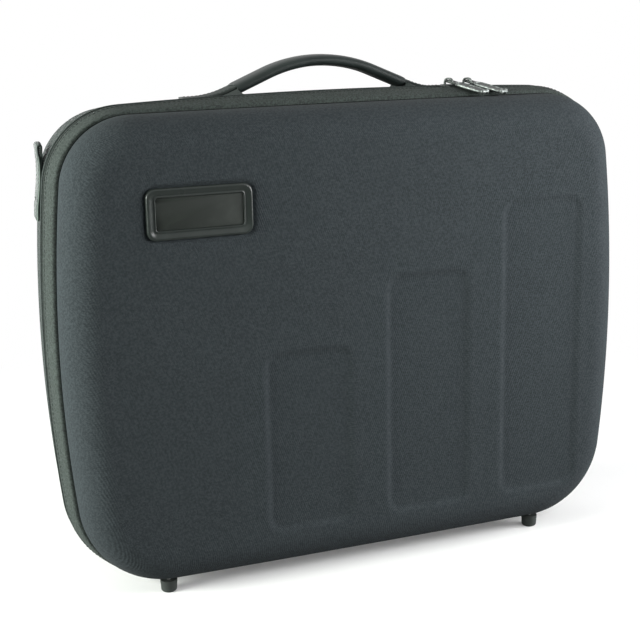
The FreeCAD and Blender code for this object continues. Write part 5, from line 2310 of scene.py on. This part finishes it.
@dataclass
class LidPocket:
    """Document pocket on the lid's lining, with an elastic binding on its edge.

    Attributes:
        half: Half of its width.
        low: Its lower end.
        high: Its upper edge.
        back: Where it is sewn to the lining.
        depth: How far it stands off the lining.
        wall: Its cloth's thickness.
        hem: Height of the binding.
        sag: How far its upper edge hangs out.
        waves: Height of the cloth's waves, and the length of a radian across and up.
    """

    half: float = 140.0
    low: float = 58.0
    high: float = 236.0
    back: float = -56.85
    depth: float = 12.0
    wall: float = 1.4
    hem: float = 9.0
    sag: float = 1.8
    waves: tuple[float, float, float] = (0.35, 21.0, 47.0)

    def slack(self, x: np.ndarray, z: np.ndarray) -> np.ndarray:
        """How far the cloth sags off its plane.

        Args:
            x: Places across.
            z: Places up.

        Returns:
            The sag.
        """
        height, across, up = self.waves
        bow = np.cos(np.clip(x / self.half, -1, 1) * math.pi / 2)
        waves = height * np.sin(x / across + z / up) * bow
        return (self.sag * smooth(z, self.low + 40.0, self.high) + waves) * bow

    def pouch(self) -> Piece:
        """Builds the pocket.

        Returns:
            The piece.
        """
        gusset = [(0.0, 0.0), (0.15, 0.3), (0.35, 0.6), (0.8, 0.83), (1.8, 0.96), (3.6, 1.0)]
        runs, rises = np.array(gusset).T
        left, foot = runs - self.half, runs + self.low
        xs = np.concatenate([left, np.linspace(left[-1], -left[-1], 61)[1:-1], -left[::-1]])
        sides = np.concatenate([rises, np.ones(59), rises[::-1]])
        zs = np.concatenate([foot, np.linspace(foot[-1], self.high, 42)[1:]])
        feet = np.concatenate([rises, np.ones(41)])
        x, z = np.meshgrid(xs, zs)
        rise = sides[None, :] * feet[:, None]
        y = self.back + (self.depth - self.wall / 2) * rise + self.slack(x, z) * rise
        form = Form().grid(np.stack([x, y, z], axis=-1) * MM)
        thickness = self.wall * MM * 0.8
        return form.make("lid_pocket_cloth", Palette.pocket, Body.LID, sharp=60.0, thickness=thickness)

    def binding(self) -> Piece:
        """Builds the binding, folded over the pocket's upper edge.

        Returns:
            The piece.
        """
        reach = self.wall / 2 + 0.45
        middle = self.back + self.depth - self.wall / 2
        top, low = self.high - 0.4, self.high - self.hem
        rows = [(reach, z) for z in np.linspace(low, top, 7)]
        rows += [(reach * math.cos(a), top + reach * math.sin(a)) for a in np.linspace(0.4, 2.7, 6)]
        rows += [(-reach, z) for z in np.linspace(top, low, 7)]
        xs = np.linspace(-self.half + self.wall, self.half - self.wall, 140)
        section = np.array(rows)
        x, out = np.meshgrid(xs, section[:, 0])
        _, z = np.meshgrid(xs, section[:, 1])
        y = middle + out * (1 + 0.12 * np.sin(x * 1.4)) + self.slack(x, z)
        form = Form().grid(np.stack([x, y, z], axis=-1) * MM)
        return form.make("pocket_binding_elastic", Palette.binding, Body.LID, sharp=70.0, thickness=0.6 * MM)

    def dress(self) -> None:
        """Builds the pieces in place of their CAD nodes."""
        pouch = self.pouch()
        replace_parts(pouch, "lid_pocket")
        binding = self.binding()
        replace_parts(binding, "pocket_binding")


@dataclass
class HingeStrip:
    """Cloth strip with a bead along the hinge line, between the lid and the base.

    Attributes:
        half: Half of its length.
        front: Its front edge.
        rear: Its rear edge.
        axis: Place and height of the hinge line.
        thickness: Its thickness.
        bead: Radius of the bead.
        ripple: Height of its ripples, and the radians of them in a millimetre.
        bend: Distance from the hinge line over which a bend would reach, on either side; not used.
    """

    half: float = 143.0
    front: float = -15.45
    rear: float = -6.05
    axis: Pair = (-11.05, 7.6)
    thickness: float = 1.0
    bead: float = 1.6
    ripple: Pair = (0.06, 1.9)
    bend: float = 2.4

    def build(self) -> Piece:
        """Builds the strip.

        Returns:
            The piece.
        """
        ys = np.linspace(self.front, self.rear, 29)
        off = np.abs(ys - self.axis[0]) / self.bead
        swell = self.bead * np.sqrt(np.clip(1 - off**2, 0, 1))
        flank = self.thickness / 2 + 0.5 - off * 0.45
        half = np.maximum(np.maximum(swell, self.thickness / 2), flank)
        half[[0, -1]] *= 0.55
        low, high = (np.column_stack([ys, self.axis[1] + way * half]) for way in (-1, 1))
        section = np.vstack([low, high[::-1]])
        height, turn = self.ripple
        rings = []
        for x in np.linspace(-self.half, self.half, 97):
            rings.append(slice_at(x, section + (0.0, height * math.sin(x * turn))) * MM)
        return Form().tube(rings, caps=True).make("hinge_strip_cloth", Palette.band, None, sharp=70.0)

    def dress(self) -> None:
        """Builds the strip in place of its CAD node."""
        strip = self.build()
        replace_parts(strip, "hinge_strip")
        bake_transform(strip)


# Carried CAD


@dataclass
class CarriedNodes:
    """CAD nodes shown as they are.

    Attributes:
        names: Their names.
        finish: Their finish.
    """

    names: tuple[str, ...] = ("front_foot_screws", "rear_foot_screws", "handle_plates", "handle_screws")
    finish: Finish = Palette.steel

    def dress(self, nodes: dict[str, Piece]) -> None:
        """Gives the nodes their finish.

        Args:
            nodes: The frame's CAD nodes.
        """
        finish = self.finish
        for name in self.names:
            mesh = nodes[name].data
            mesh.materials.clear()
            mesh.materials.append(Palette.material(finish))


# Studio


@dataclass(frozen=True)
class Lamp:
    """A rectangular lamp.

    Attributes:
        name: Its name.
        place: Where it stands, in metres.
        target: The point that it faces, in metres.
        size: Its width and height, in metres.
        power: Its power in watts.
        tint: Its colour.
    """

    name: str
    place: tuple[float, float, float]
    target: tuple[float, float, float]
    size: Pair
    power: float
    tint: Colour = (1.0, 1.0, 1.0)

    def build(self) -> None:
        """Builds the lamp."""
        data = bpy.data.lights.new(self.name, "AREA")
        data.shape = "RECTANGLE"
        data.size, data.size_y = self.size
        data.energy = self.power
        data.color = self.tint
        lamp = bpy.data.objects.new(self.name, data)
        bpy.context.scene.collection.objects.link(lamp)
        aim = Vector(self.target) - Vector(self.place)
        lamp.matrix_world = Matrix.Translation(self.place) @ aim.to_track_quat("-Z", "Y").to_matrix().to_4x4()


@dataclass
class Studio:
    """White floor, white background, lamps and camera.

    Attributes:
        eye: The camera's place, in metres.
        yaw: Its turn from +Y towards +X, in degrees.
        pitch: Its pitch, in degrees.
        roll: Its roll, in degrees.
        lens: Its focal length.
        fade: Distances from the middle between which the floor turns into the plain background, in metres.
        base: Share of the plain background in the floor beside the case.
        ambience: Strength of the surroundings as light.
        haze: Their colour as light.
        reach: Half of the floor's size, in metres.
        shades: The floor's grey as light, and as seen.
        lamps: The lamps.
    """

    eye: tuple[float, float, float] = (-0.3323, -0.85365, 0.4009)
    yaw: float = 20.61
    pitch: float = -14.04
    roll: float = -1.21
    lens: float = 71.64
    fade: Pair = (0.3, 0.62)
    base: float = 0.12
    ambience: float = 0.12
    haze: Box = (0.95, 0.98, 1.0, 1.0)
    reach: float = 12.0
    shades: tuple[Colour, Colour] = ((0.35, 0.35, 0.35), (0.97, 0.97, 0.97))
    lamps: tuple[Lamp, ...] = (
        Lamp("front", (0.3, -0.45, 0.4), (0.0, 0.0, 0.25), (0.25, 0.25), 2.2),
        Lamp("top", (0.1, 0.3, 1.9), (0.0, 0.0, 0.2), (2.2, 1.8), 1.0),
        Lamp("left", (-1.42, -0.1, 0.5), (0.0, 0.0, 0.2), (0.7, 0.7), 47.0, (0.96, 1.0, 0.94)),
        Lamp("right", (1.25, -0.4, 0.4), (0.0, 0.0, 0.25), (0.6, 0.7), 22.0),
        Lamp("back", (-0.3, 1.3, 0.3), (0.0, 0.0, 0.2), (0.7, 0.5), 12.0),
    )

    def camera(self) -> None:
        """Builds the camera."""
        yaw, pitch, roll = (math.radians(angle) for angle in (self.yaw, self.pitch, self.roll))
        ahead = Vector((math.sin(yaw) * math.cos(pitch), math.cos(yaw) * math.cos(pitch), math.sin(pitch)))
        right = Vector((math.cos(yaw), -math.sin(yaw), 0.0))
        up = right.cross(ahead)
        across = right * math.cos(roll) + up * math.sin(roll)
        above = up * math.cos(roll) - right * math.sin(roll)
        data = bpy.data.cameras.new("camera")
        data.lens, data.sensor_width = self.lens, 36.0
        data.clip_start, data.clip_end = 0.01, 50.0
        camera = bpy.data.objects.new("camera", data)
        bpy.context.scene.collection.objects.link(camera)
        rotation = Matrix((across, above, -ahead)).transposed().to_4x4()
        camera.matrix_world = Matrix.Translation(self.eye) @ rotation
        bpy.context.scene.camera = camera

    def floor(self) -> None:
        """Builds the floor."""
        mesh = bpy.data.meshes.new("floor")
        corners = [(x * self.reach, y * self.reach, 0.0) for x, y in ((-1, -1), (1, -1), (1, 1), (-1, 1))]
        mesh.from_pydata(corners, [], [(0, 1, 2, 3)])
        shader = Shader("floor_white")
        x, y, _ = shader.axes()
        far = ((x * x + y * y) ** 0.5).step(*self.fade) * (1 - self.base) + self.base
        seen = shader.rays("Camera")
        plain = shader.source("ShaderNodeEmission", Color=WHITE, Strength=1.0)
        shader.shown(far * seen, shader.look, plain, shader.output)
        shade = shader.blend(*self.shades, seen)
        mesh.materials.append(shader.finish(Base_Color=shade, Roughness=0.9, Specular_IOR_Level=0.0))
        floor = bpy.data.objects.new("floor", mesh)
        bpy.context.scene.collection.objects.link(floor)

    def world(self) -> None:
        """Builds the white surroundings, plain to the camera and dimmer as light."""
        world = bpy.data.worlds.new("surroundings")
        bpy.context.scene.world = world
        world.use_nodes = True
        tree = Tree(world.node_tree)
        dim = tree.source("ShaderNodeBackground", Color=self.haze, Strength=self.ambience)
        plain = tree.source("ShaderNodeBackground", Color=WHITE, Strength=1.0)
        seen = tree.rays("Camera", "Glossy", "Transmission")
        tree.shown(seen, dim, plain, tree.add("ShaderNodeOutputWorld"))

    def build(self) -> None:
        """Builds the studio."""
        self.camera()
        self.floor()
        self.world()
        for lamp in self.lamps:
            lamp.build()
        bpy.context.scene.view_settings.view_transform = "Standard"


def main() -> None:
    """Builds the looks in order."""
    logging.basicConfig(level=logging.INFO, format="%(message)s")
    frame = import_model()
    FrontShell().dress()
    Band().dress()
    ZipHalf("front_zip", "front_zip_half", Body.LID, Stations.ridge, 1).dress()
    ZipHalf("rear_zip", "rear_zip_half", Body.BASE, Stations.rear, -1).dress()
    ZipStops("front_zip_clips", "front_zip_stops", Body.LID, -14.05, -11.85).dress()
    ZipStops("rear_zip_clips", "rear_zip_stops", Body.BASE, -10.25, -8.05).dress()
    RearShell().dress()
    Handle().dress()
    Badge().dress()
    Feet("front_feet_rubber", "front_feet", Body.LID, -40.65 * MM).dress()
    Feet("rear_feet_rubber", "rear_feet", Body.BASE, 30.0 * MM).dress()
    for name, side in (("left", -1), ("right", 1)):
        loop = SideLoop("loop_" + name, "side_loop_" + name, Body.BASE, side)
        loop.dress()
        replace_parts(loop.heads(), "loop_rivets")
        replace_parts(loop.plate(), "loop_plates")
    ZipPull("inner", 88.0, Body.INNER_SLIDER, Body.INNER_PULL).dress()
    ZipPull("outer", 103.0, Body.OUTER_SLIDER, Body.OUTER_PULL).dress()
    Linings().dress()
    LaptopBed().dress()
    LidPocket().dress()
    HingeStrip().dress()
    CarriedNodes().dress(frame["nodes"])
    Studio().build()


if __name__ == "__main__":
    main()
